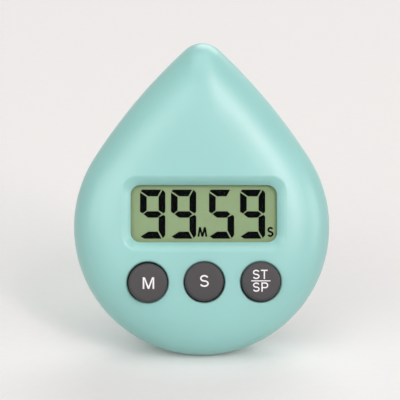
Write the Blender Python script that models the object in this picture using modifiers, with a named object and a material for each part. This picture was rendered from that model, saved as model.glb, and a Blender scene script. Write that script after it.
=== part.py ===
"""Kitchen timer in the shape of a water drop, modelled as the pieces it comes apart into.

Every piece is modelled upright in the body frame: +X to the right, +Y into the body, so that the
face looks along -Y, and +Z up. The body frame's origin is the centre of the drop's round lower
part, on the plane where the two half cases meet. The empty body_frame leans the whole timer back
until it stands on its foot and its fold-out stand, on the table at the world's Z = 0.
"""

import math

import bmesh
import bpy
from mathutils import Matrix, Vector
from mathutils.geometry import interpolate_bezier

MM = 0.001

# The drop's outline, as seen from the front
BODY_WIDTH = 62.0 * MM
BODY_HEIGHT = 76.0 * MM
TIP_RADIUS = 5.0 * MM
FLANK_RADIUS = 105.0 * MM
LOWER_STEPS = 15
FLANK_STEPS = 5
TIP_STEPS = 4

# The domed half cases
FRONT_DEPTH = 9.6 * MM
REAR_DEPTH = 9.9 * MM
FRONT_FLAT = 0.60
REAR_FLAT = 0.70
DOME_POWER = 2.25
DOME_STEPS = 7
CORNER_STEPS = 4
WALL = 1.8 * MM

# Clearances: between the half cases, at a seat, and beside a moving piece
PARTING_GAP = 0.3 * MM
SEAT_GAP = 0.25 * MM
RUN_GAP = 0.4 * MM
BEYOND = 6.0 * MM

# How the timer stands
LEAN = math.radians(17.0)
FOOT_FLAT_DEPTH = 0.3 * MM
TABLE_SIZE = 200.0 * MM

# Half-lap joint round the rim of the cases
LAP_DEPTH = 1.6 * MM
LAP_INSET = 1.0 * MM
LIP_INSET = 1.3 * MM
LIP_INNER_INSET = 2.1 * MM
LIP_HEIGHT = 1.4 * MM
LIP_ROOT = 1.2 * MM

# Display: sloped recess, opening, and the stack behind it
DISPLAY_HEIGHT = 3.5 * MM
RECESS_SIZE = (38.4 * MM, 17.4 * MM)
RECESS_CORNER = 3.2 * MM
RECESS_DEPTH = 1.4 * MM
OPENING_SIZE = (34.7 * MM, 13.4 * MM)
OPENING_CORNER = 2.2 * MM
OPENING_DEPTH = 0.6 * MM
WINDOW_SIZE = (36.6 * MM, 15.3 * MM)
WINDOW_CORNER = 1.5 * MM
WINDOW_THICKNESS = 0.8 * MM
PAD_HALF_WIDTH = 20.6 * MM
PAD_BOTTOM = -7.0 * MM
PAD_TOP = 13.4 * MM
PAD_REAR = -6.5 * MM
GLASS_HALF_WIDTH = 18.8 * MM
GLASS_BOTTOM = -6.2 * MM
GLASS_TOP = 11.6 * MM
GLASS_THICKNESS = 1.0 * MM
GLASS_LEDGE = 2.1 * MM
RIB_THICKNESS = 1.2 * MM
RIB_REAR = -3.6 * MM
ZEBRA_HALF_WIDTH = 17.0 * MM
ZEBRA_THICKNESS = 1.6 * MM
FOAM_HALF_WIDTH = 16.5 * MM
FOAM_HEIGHT = 2.4 * MM

# Circuit board and what is on it
BOARD_FRONT = -1.6 * MM
BOARD_THICKNESS = 1.0 * MM
BOARD_INSET = 5.0 * MM
BOARD_HALF_WIDTH = 19.3 * MM
BOARD_TOP = 17.0 * MM
BOARD_SCREWS = ((-16.9, 15.2), (16.9, 15.2), (-6.75, -20.5), (6.75, -20.5))
POST_RADIUS = 1.6 * MM
CHIP_PLACE = (-12.5 * MM, -3.0 * MM)
CHIP_RADIUS = 4.2 * MM
CHIP_HEIGHT = 1.2 * MM
CRYSTAL_PLACE = (12.5 * MM, 0.5 * MM)
CRYSTAL_RADIUS = 1.0 * MM
CRYSTAL_LENGTH = 6.0 * MM

# Buttons, the rubber mat behind them and their contact pills
BUTTONS = ("minute", "second", "start_stop")
BUTTON_PITCH = 13.5 * MM
BUTTON_HEIGHT = -13.05 * MM
BUTTON_RADIUS = 4.8 * MM
BUTTON_PROUD = 1.2 * MM
BUTTON_CHAMFER = 0.55 * MM
BUTTON_CROWN = 0.25 * MM
BUTTON_ROOF = 1.2 * MM
SKIRT_INNER_RADIUS = 3.8 * MM
FLANGE_RADIUS = 5.7 * MM
FLANGE_THICKNESS = 0.6 * MM
STEM_RADIUS = 1.8 * MM
STEM_END = -6.4 * MM
MAT_THICKNESS = 0.8 * MM
MAT_HALF_WIDTH = 18.9 * MM
MAT_BOTTOM = -18.6 * MM
MAT_TOP = -7.6 * MM
DOME_TOP_RADIUS = 2.6 * MM
DOME_FOOT_RADIUS = 4.6 * MM
DOME_SHOULDER = -4.5 * MM
HOLLOW_FOOT_RADIUS = 3.7 * MM
HOLLOW_TOP_RADIUS = 1.9 * MM
HOLLOW_TOP = -3.6 * MM
PILL_RADIUS = 1.5 * MM
PILL_THICKNESS = 0.45 * MM

# Button cell, its twist-off cap and its contacts
CELL_HEIGHT = 8.0 * MM
CELL_RADIUS = 5.8 * MM
CELL_FRONT = 0.6 * MM
CELL_LENGTH = 5.35 * MM
CELL_CAP_RADIUS = 4.5 * MM
CELL_CAP_LENGTH = 0.5 * MM
WELL_RADIUS = 6.15 * MM
WELL_WALL = 1.25 * MM
WELL_FRONT = 1.2 * MM
RACE_RADIUS = 7.7 * MM
RACE_FRONT = 5.9 * MM
RACE_REAR = 7.3 * MM
RACE_WALL = 1.7 * MM
LEDGE_REAR = 8.4 * MM
LEDGE_RADIUS = 6.3 * MM
CAP_RADIUS = 8.2 * MM
CAP_HUB_RADIUS = 6.0 * MM
LUG_REACH = 7.1 * MM
LUG_HALF_WIDTH = 1.8 * MM
LUG_THICKNESS = 0.75 * MM
UNLOCK_TURN = math.radians(50.0)
COIN_SLOT = (10.4 * MM, 1.9 * MM, 0.7 * MM)
STRIP_THICKNESS = 0.3 * MM
STRIP_HALF_WIDTH = 1.8 * MM

# Piezo buzzer, behind the sound holes under the stand
BUZZER_HEIGHT = -13.2 * MM
BUZZER_RADIUS = 9.1 * MM
BUZZER_PLATE_THICKNESS = 0.3 * MM
BUZZER_CERAMIC_RADIUS = 6.2 * MM
BUZZER_CERAMIC_THICKNESS = 0.25 * MM
BUZZER_SEAT = 4.7 * MM
BUZZER_SEAT_RADII = (7.6 * MM, 9.5 * MM)
SOUND_HOLE_RADIUS = 0.75 * MM
SOUND_HOLE_CIRCLE = 3.6 * MM
SOUND_HOLES = 6
WIRE_RADIUS = 0.4 * MM
WIRE_LIFT = 2.0 * MM
SIGNAL_WIRE = ((2.5, -11.5), (13.5, -5.5))
GROUND_WIRE = ((7.6, -15.0), (15.5, -9.5))

# Magnet in the back
MAGNET_HEIGHT = 24.5 * MM
MAGNET_RADIUS = 5.0 * MM
MAGNET_THICKNESS = 2.0 * MM
MAGNET_WALL = 1.4 * MM

# Fold-out stand
STAND_HALF_WIDTH = 10.4 * MM
STAND_THICKNESS = 2.5 * MM
STAND_CORNER = 1.0 * MM
STAND_HEEL = 0.7 * MM
STAND_TIP = 0.918
STAND_FRONT = 4.7 * MM
HINGE_HEIGHT = -4.2 * MM
HINGE_PIN_RADIUS = 0.75 * MM
HINGE_PIN_REACH = 12.0 * MM
POCKET_HEADROOM = 1.7 * MM
POCKET_BOTTOM = -28.95 * MM
POCKET_FRONT = 2.4 * MM
POCKET_WALL = 1.3 * MM
POCKET_SIDE_WALL = 2.3 * MM

# Screws that hold the cases together
CASE_SCREWS = {"top": (0.0, 35.5), "left": (-22.3, -12.0), "right": (22.3, -12.0)}
FRONT_BOSS_RADIUS = 2.4 * MM
REAR_BOSS_RADIUS = 3.2 * MM
SCREW_SEAT = 6.4 * MM
SCREW_HEAD_RADIUS = 1.9 * MM
SCREW_HEAD_HEIGHT = 1.2 * MM
SCREW_RADIUS = 0.95 * MM
SCREW_LENGTH = 11.0 * MM
BOARD_SCREW_HEAD_RADIUS = 1.4 * MM
BOARD_SCREW_HEAD_HEIGHT = 0.9 * MM
BOARD_SCREW_RADIUS = 0.55 * MM
BOARD_SCREW_LENGTH = 4.2 * MM

FRONT = -1
REAR = 1
LOWER_RADIUS = BODY_WIDTH / 2
BOARD_REAR = BOARD_FRONT + BOARD_THICKNESS
HINGE_DEPTH = REAR_DEPTH - STAND_THICKNESS / 2

# Colour, roughness and metallic value of each finish
FINISHES = {
    "mint_plastic": ((0.42, 0.71, 0.66), 0.32, 0.0),
    "grey_plastic": ((0.095, 0.092, 0.096), 0.42, 0.0),
    "clear_acrylic": ((0.86, 0.90, 0.88), 0.08, 0.0),
    "display_glass": ((0.29, 0.39, 0.21), 0.22, 0.0),
    "white_foam": ((0.80, 0.80, 0.76), 0.90, 0.0),
    "conductive_rubber": ((0.12, 0.12, 0.13), 0.75, 0.0),
    "green_laminate": ((0.03, 0.22, 0.09), 0.45, 0.0),
    "black_epoxy": ((0.02, 0.02, 0.02), 0.35, 0.0),
    "plated_steel": ((0.62, 0.62, 0.60), 0.28, 1.0),
    "grey_silicone": ((0.55, 0.56, 0.57), 0.65, 0.0),
    "carbon_rubber": ((0.03, 0.03, 0.03), 0.80, 0.0),
    "brass": ((0.72, 0.53, 0.22), 0.30, 1.0),
    "white_ceramic": ((0.78, 0.78, 0.74), 0.45, 0.0),
    "red_insulation": ((0.55, 0.04, 0.03), 0.50, 0.0),
    "black_insulation": ((0.03, 0.03, 0.03), 0.50, 0.0),
    "nickel": ((0.58, 0.57, 0.55), 0.22, 1.0),
}


def clear_scene():
    """Remove what the scene holds."""
    for item in list(bpy.data.objects):
        bpy.data.objects.remove(item, do_unlink=True)


def new_collection(name):
    """A collection in the scene."""
    collection = bpy.data.collections.new(name)
    bpy.context.scene.collection.children.link(collection)
    return collection


def new_empty(name, parent, location, rotation):
    """An empty that places the pieces under it."""
    empty = bpy.data.objects.new(name, None)
    empty.parent = parent
    empty.location = location
    empty.rotation_euler = rotation
    PARTS.objects.link(empty)
    return empty


def finish_material(finish):
    """The Principled material of a finish, made once."""
    material = bpy.data.materials.get(finish)
    if material is None:
        colour, roughness, metallic = FINISHES[finish]
        material = bpy.data.materials.new(finish)
        material.use_nodes = True
        shader = material.node_tree.nodes["Principled BSDF"]
        shader.inputs["Base Color"].default_value = (*colour, 1.0)
        shader.inputs["Roughness"].default_value = roughness
        shader.inputs["Metallic"].default_value = metallic
        material.diffuse_color = (*colour, 1.0)
    return material


def add_object(name, data, finish=None, parent=None):
    """Link a piece, or a cutter where it has no finish, under the body frame or another parent."""
    item = bpy.data.objects.new(name, data)
    item.parent = parent or BODY_FRAME
    if finish:
        data.materials.append(finish_material(finish))
        PARTS.objects.link(item)
    else:
        item.hide_render = True
        item.display_type = "WIRE"
        CUTTERS.objects.link(item)
    return item


def mesh_object(name, shape, finish=None):
    """An object from a bmesh, its faces turned outwards and its round sides shaded smooth."""
    bmesh.ops.recalc_face_normals(shape, faces=shape.faces)
    data = bpy.data.meshes.new(name)
    shape.to_mesh(data)
    shape.free()
    data.shade_smooth()
    data.set_sharp_from_angle(angle=math.radians(35))
    return add_object(name, data, finish)


def apply_boolean(target, others, operation):
    """Add one Boolean modifier to the target for each of the other objects."""
    for other in others:
        modifier = target.modifiers.new(other.name, "BOOLEAN")
        modifier.operation = operation
        modifier.object = other


def cut(target, *others):
    """Take the other objects out of the target."""
    apply_boolean(target, others, "DIFFERENCE")


def join(target, *others):
    """Fuse the other objects with the target."""
    apply_boolean(target, others, "UNION")


def box(name, low, high, finish=None, turn=0.0):
    """A box between two corners, turned about the depth axis through its middle."""
    size = Vector(high) - Vector(low)
    middle = (Vector(high) + Vector(low)) / 2
    place = Matrix.Translation(middle) @ Matrix.Rotation(turn, 4, "Y") @ Matrix.Diagonal((*size, 1.0))
    shape = bmesh.new()
    bmesh.ops.create_cube(shape, size=1.0, matrix=place)
    return mesh_object(name, shape, finish)


def cylinder(name, radius, centre, front, rear, finish=None, steps=24):
    """A cylinder along the depth axis, round the point (x, z), from front to rear."""
    middle = Vector((centre[0], (front + rear) / 2, centre[1]))
    place = Matrix.Translation(middle) @ Matrix.Rotation(math.pi / 2, 4, "X")
    shape = bmesh.new()
    bmesh.ops.create_cone(
        shape,
        cap_ends=True,
        segments=steps,
        radius1=radius,
        radius2=radius,
        depth=rear - front,
        matrix=place,
    )
    return mesh_object(name, shape, finish)


def prism(name, outline, front, rear, finish=None, rear_outline=None):
    """A solid between an outline of (x, z) points at the front level and one at the rear level."""
    shape = bmesh.new()
    corners = [shape.verts.new((x, front, z)) for x, z in outline]
    base = shape.faces.new(corners)
    grown = bmesh.ops.extrude_face_region(shape, geom=[base])["geom"]
    far = [item for item in grown if isinstance(item, bmesh.types.BMVert)]
    bmesh.ops.translate(shape, verts=far, vec=(0.0, rear - front, 0.0))
    if rear_outline:
        for vertex in far:
            place = min(range(len(outline)), key=lambda i: math.dist(outline[i], (vertex.co.x, vertex.co.z)))
            vertex.co.x, vertex.co.z = rear_outline[place]
    return mesh_object(name, shape, finish)


def turned(name, profile, place, facing, finish=None, steps=24):
    """A turned piece: (radius, height) points down its outer side, standing at place.

    The heights run along the depth axis, towards the front or the rear as facing says.
    """
    data = bpy.data.meshes.new(name)
    points = [(radius, 0.0, height) for radius, height in profile]
    edges = [(i, i + 1) for i in range(len(points) - 1)]
    if profile[0][0] > 0.0:
        edges.append((len(points) - 1, 0))
    data.from_pydata(points, edges, [])
    item = add_object(name, data, finish)
    item.location = place
    item.rotation_euler = (-facing * math.pi / 2, 0.0, 0.0)
    screw = item.modifiers.new("turn", "SCREW")
    screw.steps = steps
    screw.render_steps = steps
    screw.use_merge_vertices = True
    screw.merge_threshold = 0.01 * MM
    screw.use_smooth_shade = True
    return item


def rounded_rectangle(size, corner, centre):
    """The (x, z) outline of a rectangle with round corners, anticlockwise from the front."""
    points = []
    for quarter in range(4):
        across = 1 if quarter in (0, 3) else -1
        up = 1 if quarter in (0, 1) else -1
        middle_x = centre[0] + across * (size[0] / 2 - corner)
        middle_z = centre[1] + up * (size[1] / 2 - corner)
        for step in range(CORNER_STEPS + 1):
            angle = (quarter + step / CORNER_STEPS) * math.pi / 2
            points.append((middle_x + corner * math.cos(angle), middle_z + corner * math.sin(angle)))
    return points


def drop_outline(inset=0.0):
    """The drop's (x, z) outline pulled in by an inset, anticlockwise from its lowest point.

    A circle makes the lower part, a small arc the tip, and a wide arc tangent to both each flank.
    """
    tip_height = BODY_HEIGHT - LOWER_RADIUS - TIP_RADIUS
    to_lower = FLANK_RADIUS - LOWER_RADIUS
    to_tip = FLANK_RADIUS - TIP_RADIUS
    below = (to_tip**2 - to_lower**2 - tip_height**2) / (2 * tip_height)
    beside = math.sqrt(to_lower**2 - below**2)
    flank_start = math.atan2(below, beside)
    flank_end = math.atan2(below + tip_height, beside)
    arcs = (
        ((0.0, 0.0), LOWER_RADIUS, -math.pi / 2, flank_start, LOWER_STEPS),
        ((-beside, -below), FLANK_RADIUS, flank_start, flank_end, FLANK_STEPS),
        ((0.0, tip_height), TIP_RADIUS, flank_end, math.pi / 2, TIP_STEPS),
    )
    right = []
    for (centre_x, centre_z), radius, start, end, steps in arcs:
        for step in range(steps):
            angle = start + (end - start) * step / steps
            x = centre_x + (radius - inset) * math.cos(angle)
            z = centre_z + (radius - inset) * math.sin(angle)
            right.append((x, z))
    right.append((0.0, tip_height + TIP_RADIUS - inset))
    left = [(-x, z) for x, z in right[-2:0:-1]]
    return right + left


def dome_ring(side, inset, angle):
    """The outline's scale and the depth of a half case's dome, from the flat (0) to the rim (90 degrees)."""
    depth = (FRONT_DEPTH if side == FRONT else REAR_DEPTH) - inset
    flat = FRONT_FLAT if side == FRONT else REAR_FLAT
    spread = math.sin(angle) ** (2 / DOME_POWER)
    return flat + (1 - flat) * spread, side * depth * math.cos(angle)


def half_drop(name, side, inset=0.0, start=0.0, finish=None):
    """One half of the drop as a solid: straight from the start level to the rim, then domed."""
    shape = bmesh.new()
    base = [shape.verts.new((x, start, z)) for x, z in drop_outline(inset)]
    cap = shape.faces.new(base)
    scale_before = 1.0
    for step in range(DOME_STEPS, -1, -1):
        scale, depth = dome_ring(side, inset, math.pi / 2 * step / DOME_STEPS)
        if (depth - start) * side <= 0.0:
            continue
        cap = bmesh.ops.extrude_discrete_faces(shape, faces=[cap])["faces"][0]
        for vertex in cap.verts:
            vertex.co.x *= scale / scale_before
            vertex.co.y = depth
            vertex.co.z *= scale / scale_before
        scale_before = scale
    shape.faces.new(reversed(base))
    return mesh_object(name, shape, finish)


def rim_ring(name, outer_inset, inner_inset, front, rear):
    """A ring that follows the drop's outline between two insets."""
    ring = prism(name, drop_outline(outer_inset), front, rear)
    cut(ring, prism(name + "_inside", drop_outline(inner_inset), front - BEYOND, rear + BEYOND))
    return ring


def foot_point():
    """Where the leaning timer would touch the table before its foot is cut flat: depth, height and reach."""
    best = (0.0, 0.0, 0.0)
    samples = 900
    for sample in range(samples + 1):
        scale, depth = dome_ring(REAR, 0.0, math.pi / 2 * sample / samples)
        height = -LOWER_RADIUS * scale
        reach = depth * math.sin(LEAN) - height * math.cos(LEAN)
        if reach > best[2]:
            best = (depth, height, reach)
    return best


def place_body_frame():
    """The empty that leans the timer back, with the middle of its flat foot at the world's origin."""
    depth, height, reach = foot_point()
    behind = depth * math.cos(LEAN) + height * math.sin(LEAN)
    rise = reach - FOOT_FLAT_DEPTH
    return new_empty("body_frame", None, (0.0, -behind, rise), (-LEAN, 0.0, 0.0))


def stand_opening():
    """The angle from the folded stand to the stand on the table, its rear edge just on it."""
    rise = foot_point()[2] - FOOT_FLAT_DEPTH
    hinge_rise = rise - HINGE_DEPTH * math.sin(LEAN) + HINGE_HEIGHT * math.cos(LEAN)
    spread = (STAND_TIP - REAR_FLAT) / (1 - REAR_FLAT)
    tip_depth = REAR_DEPTH * math.sqrt(1 - spread**DOME_POWER)
    forward = HINGE_DEPTH - tip_depth
    down = HINGE_HEIGHT + LOWER_RADIUS * STAND_TIP
    folded_angle = math.atan2(forward, down)
    return folded_angle + LEAN + math.acos(hinge_rise / math.hypot(forward, down))


def build_front_case():
    """The front shell: display recess, button holes, screw bosses and board posts."""
    face = -FRONT_DEPTH
    middle = (0.0, DISPLAY_HEIGHT)
    cavity = half_drop("front_cavity", FRONT, WALL, start=BEYOND)
    pad_low = (-PAD_HALF_WIDTH, face + RECESS_DEPTH, PAD_BOTTOM)
    cut(cavity, box("display_pad", pad_low, (PAD_HALF_WIDTH, PAD_REAR, PAD_TOP)))
    rib_inner = GLASS_HALF_WIDTH + SEAT_GAP
    rib_outer = rib_inner + RIB_THICKNESS
    rib_top = GLASS_TOP + SEAT_GAP
    for side in (-1, 1):
        inner, outer = sorted((side * rib_inner, side * rib_outer))
        rib = box(f"display_rib_{side}", (inner, face, GLASS_BOTTOM), (outer, RIB_REAR, rib_top))
        cut(cavity, rib)
    top_rib = ((-rib_outer, face, rib_top), (rib_outer, RIB_REAR, rib_top + RIB_THICKNESS))
    cut(cavity, box("display_rib_top", *top_rib))
    for key, (x, z) in CASE_SCREWS.items():
        centre = (x * MM, z * MM)
        boss_end = -PARTING_GAP
        cut(cavity, cylinder(f"front_boss_{key}", FRONT_BOSS_RADIUS, centre, face, boss_end, steps=16))
    for index, (x, z) in enumerate(BOARD_SCREWS):
        centre = (x * MM, z * MM)
        post_end = BOARD_FRONT - SEAT_GAP
        cut(cavity, cylinder(f"board_post_{index}", POST_RADIUS, centre, face, post_end, steps=12))

    case = half_drop("front_case", FRONT, start=-PARTING_GAP / 2, finish="mint_plastic")
    cut(case, cavity)
    slope = (RECESS_SIZE[0] - OPENING_SIZE[0]) / RECESS_DEPTH
    rise = (RECESS_SIZE[1] - OPENING_SIZE[1]) / RECESS_DEPTH
    above = 1.0 * MM
    mouth = (RECESS_SIZE[0] + slope * above, RECESS_SIZE[1] + rise * above)
    recess = prism(
        "display_recess",
        rounded_rectangle(mouth, RECESS_CORNER + above, middle),
        face - above,
        face + RECESS_DEPTH,
        rear_outline=rounded_rectangle(OPENING_SIZE, OPENING_CORNER, middle),
    )
    opening = rounded_rectangle(OPENING_SIZE, OPENING_CORNER, middle)
    seat_front = face + RECESS_DEPTH + OPENING_DEPTH
    seat_size = (WINDOW_SIZE[0] + 2 * SEAT_GAP, WINDOW_SIZE[1] + 2 * SEAT_GAP)
    seat = rounded_rectangle(seat_size, WINDOW_CORNER, middle)
    cut(
        case,
        recess,
        prism("display_opening", opening, face + RECESS_DEPTH - SEAT_GAP, PAD_REAR + SEAT_GAP),
        prism("window_seat", seat, seat_front, PAD_REAR + SEAT_GAP),
    )
    for key, x in zip(BUTTONS, (-BUTTON_PITCH, 0.0, BUTTON_PITCH)):
        centre = (x, BUTTON_HEIGHT)
        hole_radius = BUTTON_RADIUS + SEAT_GAP
        flange_radius = FLANGE_RADIUS + SEAT_GAP
        flange_seat = face + WALL
        cut(
            case,
            cylinder(f"{key}_hole", hole_radius, centre, face - BEYOND, flange_seat + SEAT_GAP, steps=32),
            cylinder(f"{key}_flange_room", flange_radius, centre, flange_seat, RIB_REAR, steps=32),
        )
    for key, (x, z) in CASE_SCREWS.items():
        pilot = SCREW_RADIUS + SEAT_GAP
        pilot_end = SCREW_SEAT - SCREW_LENGTH - SEAT_GAP
        cut(case, cylinder(f"case_pilot_{key}", pilot, (x * MM, z * MM), pilot_end, BEYOND, steps=12))
    for index, (x, z) in enumerate(BOARD_SCREWS):
        pilot = BOARD_SCREW_RADIUS + SEAT_GAP
        pilot_end = BOARD_REAR - BOARD_SCREW_LENGTH - SEAT_GAP
        cut(case, cylinder(f"board_pilot_{index}", pilot, (x * MM, z * MM), pilot_end, BEYOND, steps=10))
    cut(case, rim_ring("front_lap", LAP_INSET, LIP_INNER_INSET + SEAT_GAP, -LAP_DEPTH, BEYOND))
    return case


def stand_outline(growth, top, bottom):
    """The stand's outline from the front, grown at its sides: square at the top, rounded at the bottom."""
    half_width = STAND_HALF_WIDTH + growth
    corner = STAND_CORNER + growth
    points = [(half_width, top), (-half_width, top)]
    for quarter, side in ((2, -1), (3, 1)):
        for step in range(CORNER_STEPS + 1):
            angle = (quarter + step / CORNER_STEPS) * math.pi / 2
            x = side * (half_width - corner) + corner * math.cos(angle)
            points.append((x, bottom + corner + corner * math.sin(angle)))
    return points


def build_rear_case(table):
    """The rear shell: battery well, stand pocket, magnet pocket, sound holes and screw bosses."""
    out = REAR_DEPTH + BEYOND
    cell = (0.0, CELL_HEIGHT)
    magnet = (0.0, MAGNET_HEIGHT)
    buzzer = (0.0, BUZZER_HEIGHT)
    pocket_top = HINGE_HEIGHT + POCKET_HEADROOM
    pocket_inset = STAND_THICKNESS + RUN_GAP

    cavity = half_drop("rear_cavity", REAR, WALL, start=-BEYOND)
    backing_outline = stand_outline(
        RUN_GAP + POCKET_SIDE_WALL, pocket_top + POCKET_WALL, POCKET_BOTTOM - POCKET_SIDE_WALL
    )
    backing = prism("stand_backing", backing_outline, -PARTING_GAP, out)
    cut(backing, half_drop("stand_backing_hollow", REAR, pocket_inset + POCKET_WALL, start=-2 * BEYOND))
    seat_inner, seat_outer = BUZZER_SEAT_RADII
    buzzer_seat = cylinder("buzzer_seat", seat_outer, buzzer, BUZZER_SEAT, out)
    cut(buzzer_seat, cylinder("buzzer_chamber", seat_inner, buzzer, 0.0, REAR_DEPTH - pocket_inset - POCKET_WALL))
    magnet_front = REAR_DEPTH - MAGNET_THICKNESS - SEAT_GAP
    cut(
        cavity,
        backing,
        buzzer_seat,
        cylinder("race_boss", RACE_RADIUS + RACE_WALL, cell, RACE_FRONT - RACE_WALL, out, steps=32),
        cylinder("well_tube", WELL_RADIUS + WELL_WALL, cell, WELL_FRONT, out, steps=32),
        cylinder("magnet_boss", MAGNET_RADIUS + SEAT_GAP + MAGNET_WALL, magnet, magnet_front - MAGNET_WALL, out),
    )
    for key, (x, z) in CASE_SCREWS.items():
        cut(cavity, cylinder(f"rear_boss_{key}", REAR_BOSS_RADIUS, (x * MM, z * MM), PARTING_GAP, out, steps=16))

    case = half_drop("rear_case", REAR, start=PARTING_GAP / 2, finish="mint_plastic")
    cut(case, cavity)
    join(case, rim_ring("rear_lip", LIP_INSET, LIP_INNER_INSET, -LIP_HEIGHT, LIP_ROOT))
    pocket = prism("stand_pocket", stand_outline(RUN_GAP, pocket_top, POCKET_BOTTOM), POCKET_FRONT, out)
    cut(pocket, half_drop("stand_pocket_floor", REAR, pocket_inset, start=-2 * BEYOND))
    pin_hole = hinge_bar("hinge_hole", HINGE_PIN_RADIUS + SEAT_GAP, HINGE_PIN_REACH + SEAT_GAP)
    cut(case, pocket, pin_hole)
    for index in range(SOUND_HOLES):
        angle = 2 * math.pi * index / SOUND_HOLES
        x = SOUND_HOLE_CIRCLE * math.cos(angle)
        z = BUZZER_HEIGHT + SOUND_HOLE_CIRCLE * math.sin(angle)
        cut(case, cylinder(f"sound_hole_{index}", SOUND_HOLE_RADIUS, (x, z), BUZZER_SEAT, out, steps=10))
    notch_low = (-RACE_RADIUS, RACE_REAR - SEAT_GAP, CELL_HEIGHT - LUG_HALF_WIDTH - SEAT_GAP)
    notch_high = (RACE_RADIUS, LEDGE_REAR + SEAT_GAP, CELL_HEIGHT + LUG_HALF_WIDTH + SEAT_GAP)
    slot_low = (CELL_RADIUS - SEAT_GAP, WELL_FRONT - SEAT_GAP, CELL_HEIGHT - STRIP_HALF_WIDTH - RUN_GAP)
    slot_high = (RACE_RADIUS, RACE_FRONT - SEAT_GAP, CELL_HEIGHT + STRIP_HALF_WIDTH + RUN_GAP)
    cut(
        case,
        cylinder("cap_seat", CAP_RADIUS + SEAT_GAP, cell, LEDGE_REAR, out, steps=32),
        cylinder("ledge_hole", LEDGE_RADIUS, cell, RACE_FRONT, out, steps=32),
        cylinder("lug_race", RACE_RADIUS, cell, RACE_FRONT, RACE_REAR, steps=32),
        box("lug_notch", notch_low, notch_high, turn=UNLOCK_TURN),
        cylinder("cell_well", WELL_RADIUS, cell, 0.0, RACE_FRONT + SEAT_GAP, steps=32),
        box("contact_slot", slot_low, slot_high),
        cylinder("magnet_pocket", MAGNET_RADIUS + SEAT_GAP, magnet, magnet_front, out, steps=32),
    )
    for key, (x, z) in CASE_SCREWS.items():
        centre = (x * MM, z * MM)
        cut(
            case,
            cylinder(f"screw_clearance_{key}", SCREW_RADIUS + SEAT_GAP, centre, -BEYOND, out, steps=12),
            cylinder(f"screw_seat_{key}", SCREW_HEAD_RADIUS + SEAT_GAP, centre, SCREW_SEAT, out, steps=16),
        )
    cut(case, table)
    return case


def build_display():
    """The clear window, the glass sandwich, its connector strip and the foam behind it."""
    middle = (0.0, DISPLAY_HEIGHT)
    window_front = -FRONT_DEPTH + RECESS_DEPTH + OPENING_DEPTH + SEAT_GAP
    outline = rounded_rectangle(WINDOW_SIZE, WINDOW_CORNER, middle)
    prism("display_window", outline, window_front, window_front + WINDOW_THICKNESS, "clear_acrylic")
    glass_front = PAD_REAR + SEAT_GAP
    glass_middle = glass_front + GLASS_THICKNESS
    glass_rear = glass_middle + GLASS_THICKNESS
    ledge_top = GLASS_BOTTOM + GLASS_LEDGE
    panel = box(
        "lcd_panel",
        (-GLASS_HALF_WIDTH, glass_front, GLASS_BOTTOM),
        (GLASS_HALF_WIDTH, glass_rear, GLASS_TOP),
        "display_glass",
    )
    ledge_low = (-GLASS_HALF_WIDTH - BEYOND, glass_middle, GLASS_BOTTOM - BEYOND)
    cut(panel, box("lcd_ledge", ledge_low, (GLASS_HALF_WIDTH + BEYOND, glass_rear + BEYOND, ledge_top)))
    zebra_middle = GLASS_BOTTOM + GLASS_LEDGE / 2
    board_seat = BOARD_FRONT - SEAT_GAP
    box(
        "zebra_strip",
        (-ZEBRA_HALF_WIDTH, glass_middle + SEAT_GAP, zebra_middle - ZEBRA_THICKNESS / 2),
        (ZEBRA_HALF_WIDTH, board_seat, zebra_middle + ZEBRA_THICKNESS / 2),
        "conductive_rubber",
    )
    foam_top = GLASS_TOP - SEAT_GAP
    box(
        "lcd_foam_strip",
        (-FOAM_HALF_WIDTH, glass_rear + SEAT_GAP, foam_top - FOAM_HEIGHT),
        (FOAM_HALF_WIDTH, board_seat, foam_top),
        "white_foam",
    )


def build_board():
    """The circuit board, the chip under its blob of epoxy, and the timing crystal."""
    board = prism("circuit_board", drop_outline(BOARD_INSET), BOARD_FRONT, BOARD_REAR, "green_laminate")
    room_low = (-BOARD_HALF_WIDTH, BOARD_FRONT - BEYOND, -BODY_HEIGHT)
    room = box("board_room", room_low, (BOARD_HALF_WIDTH, BOARD_REAR + BEYOND, BOARD_TOP))
    apply_boolean(board, [room], "INTERSECT")
    for index, (x, z) in enumerate(BOARD_SCREWS):
        radius = BOARD_SCREW_RADIUS + SEAT_GAP
        centre = (x * MM, z * MM)
        cut(board, cylinder(f"board_hole_{index}", radius, centre, -BEYOND, BEYOND, steps=12))
    chip = [(0.0, CHIP_HEIGHT)]
    chip_steps = 4
    for step in range(1, chip_steps + 1):
        angle = math.pi / 2 * step / chip_steps
        chip.append((CHIP_RADIUS * math.sin(angle), CHIP_HEIGHT * math.cos(angle)))
    chip[-1] = (CHIP_RADIUS, CHIP_HEIGHT / 6)
    chip += [(CHIP_RADIUS, 0.0), (0.0, 0.0)]
    seat = BOARD_REAR + SEAT_GAP
    turned("chip_blob", chip, (CHIP_PLACE[0], seat, CHIP_PLACE[1]), REAR, "black_epoxy", steps=20)
    can = bmesh.new()
    middle = Vector((CRYSTAL_PLACE[0], seat + CRYSTAL_RADIUS, CRYSTAL_PLACE[1]))
    bmesh.ops.create_cone(
        can,
        cap_ends=True,
        segments=14,
        radius1=CRYSTAL_RADIUS,
        radius2=CRYSTAL_RADIUS,
        depth=CRYSTAL_LENGTH,
        matrix=Matrix.Translation(middle) @ Matrix.Rotation(math.pi / 2, 4, "Y"),
    )
    mesh_object("quartz_crystal", can, "plated_steel")


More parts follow.
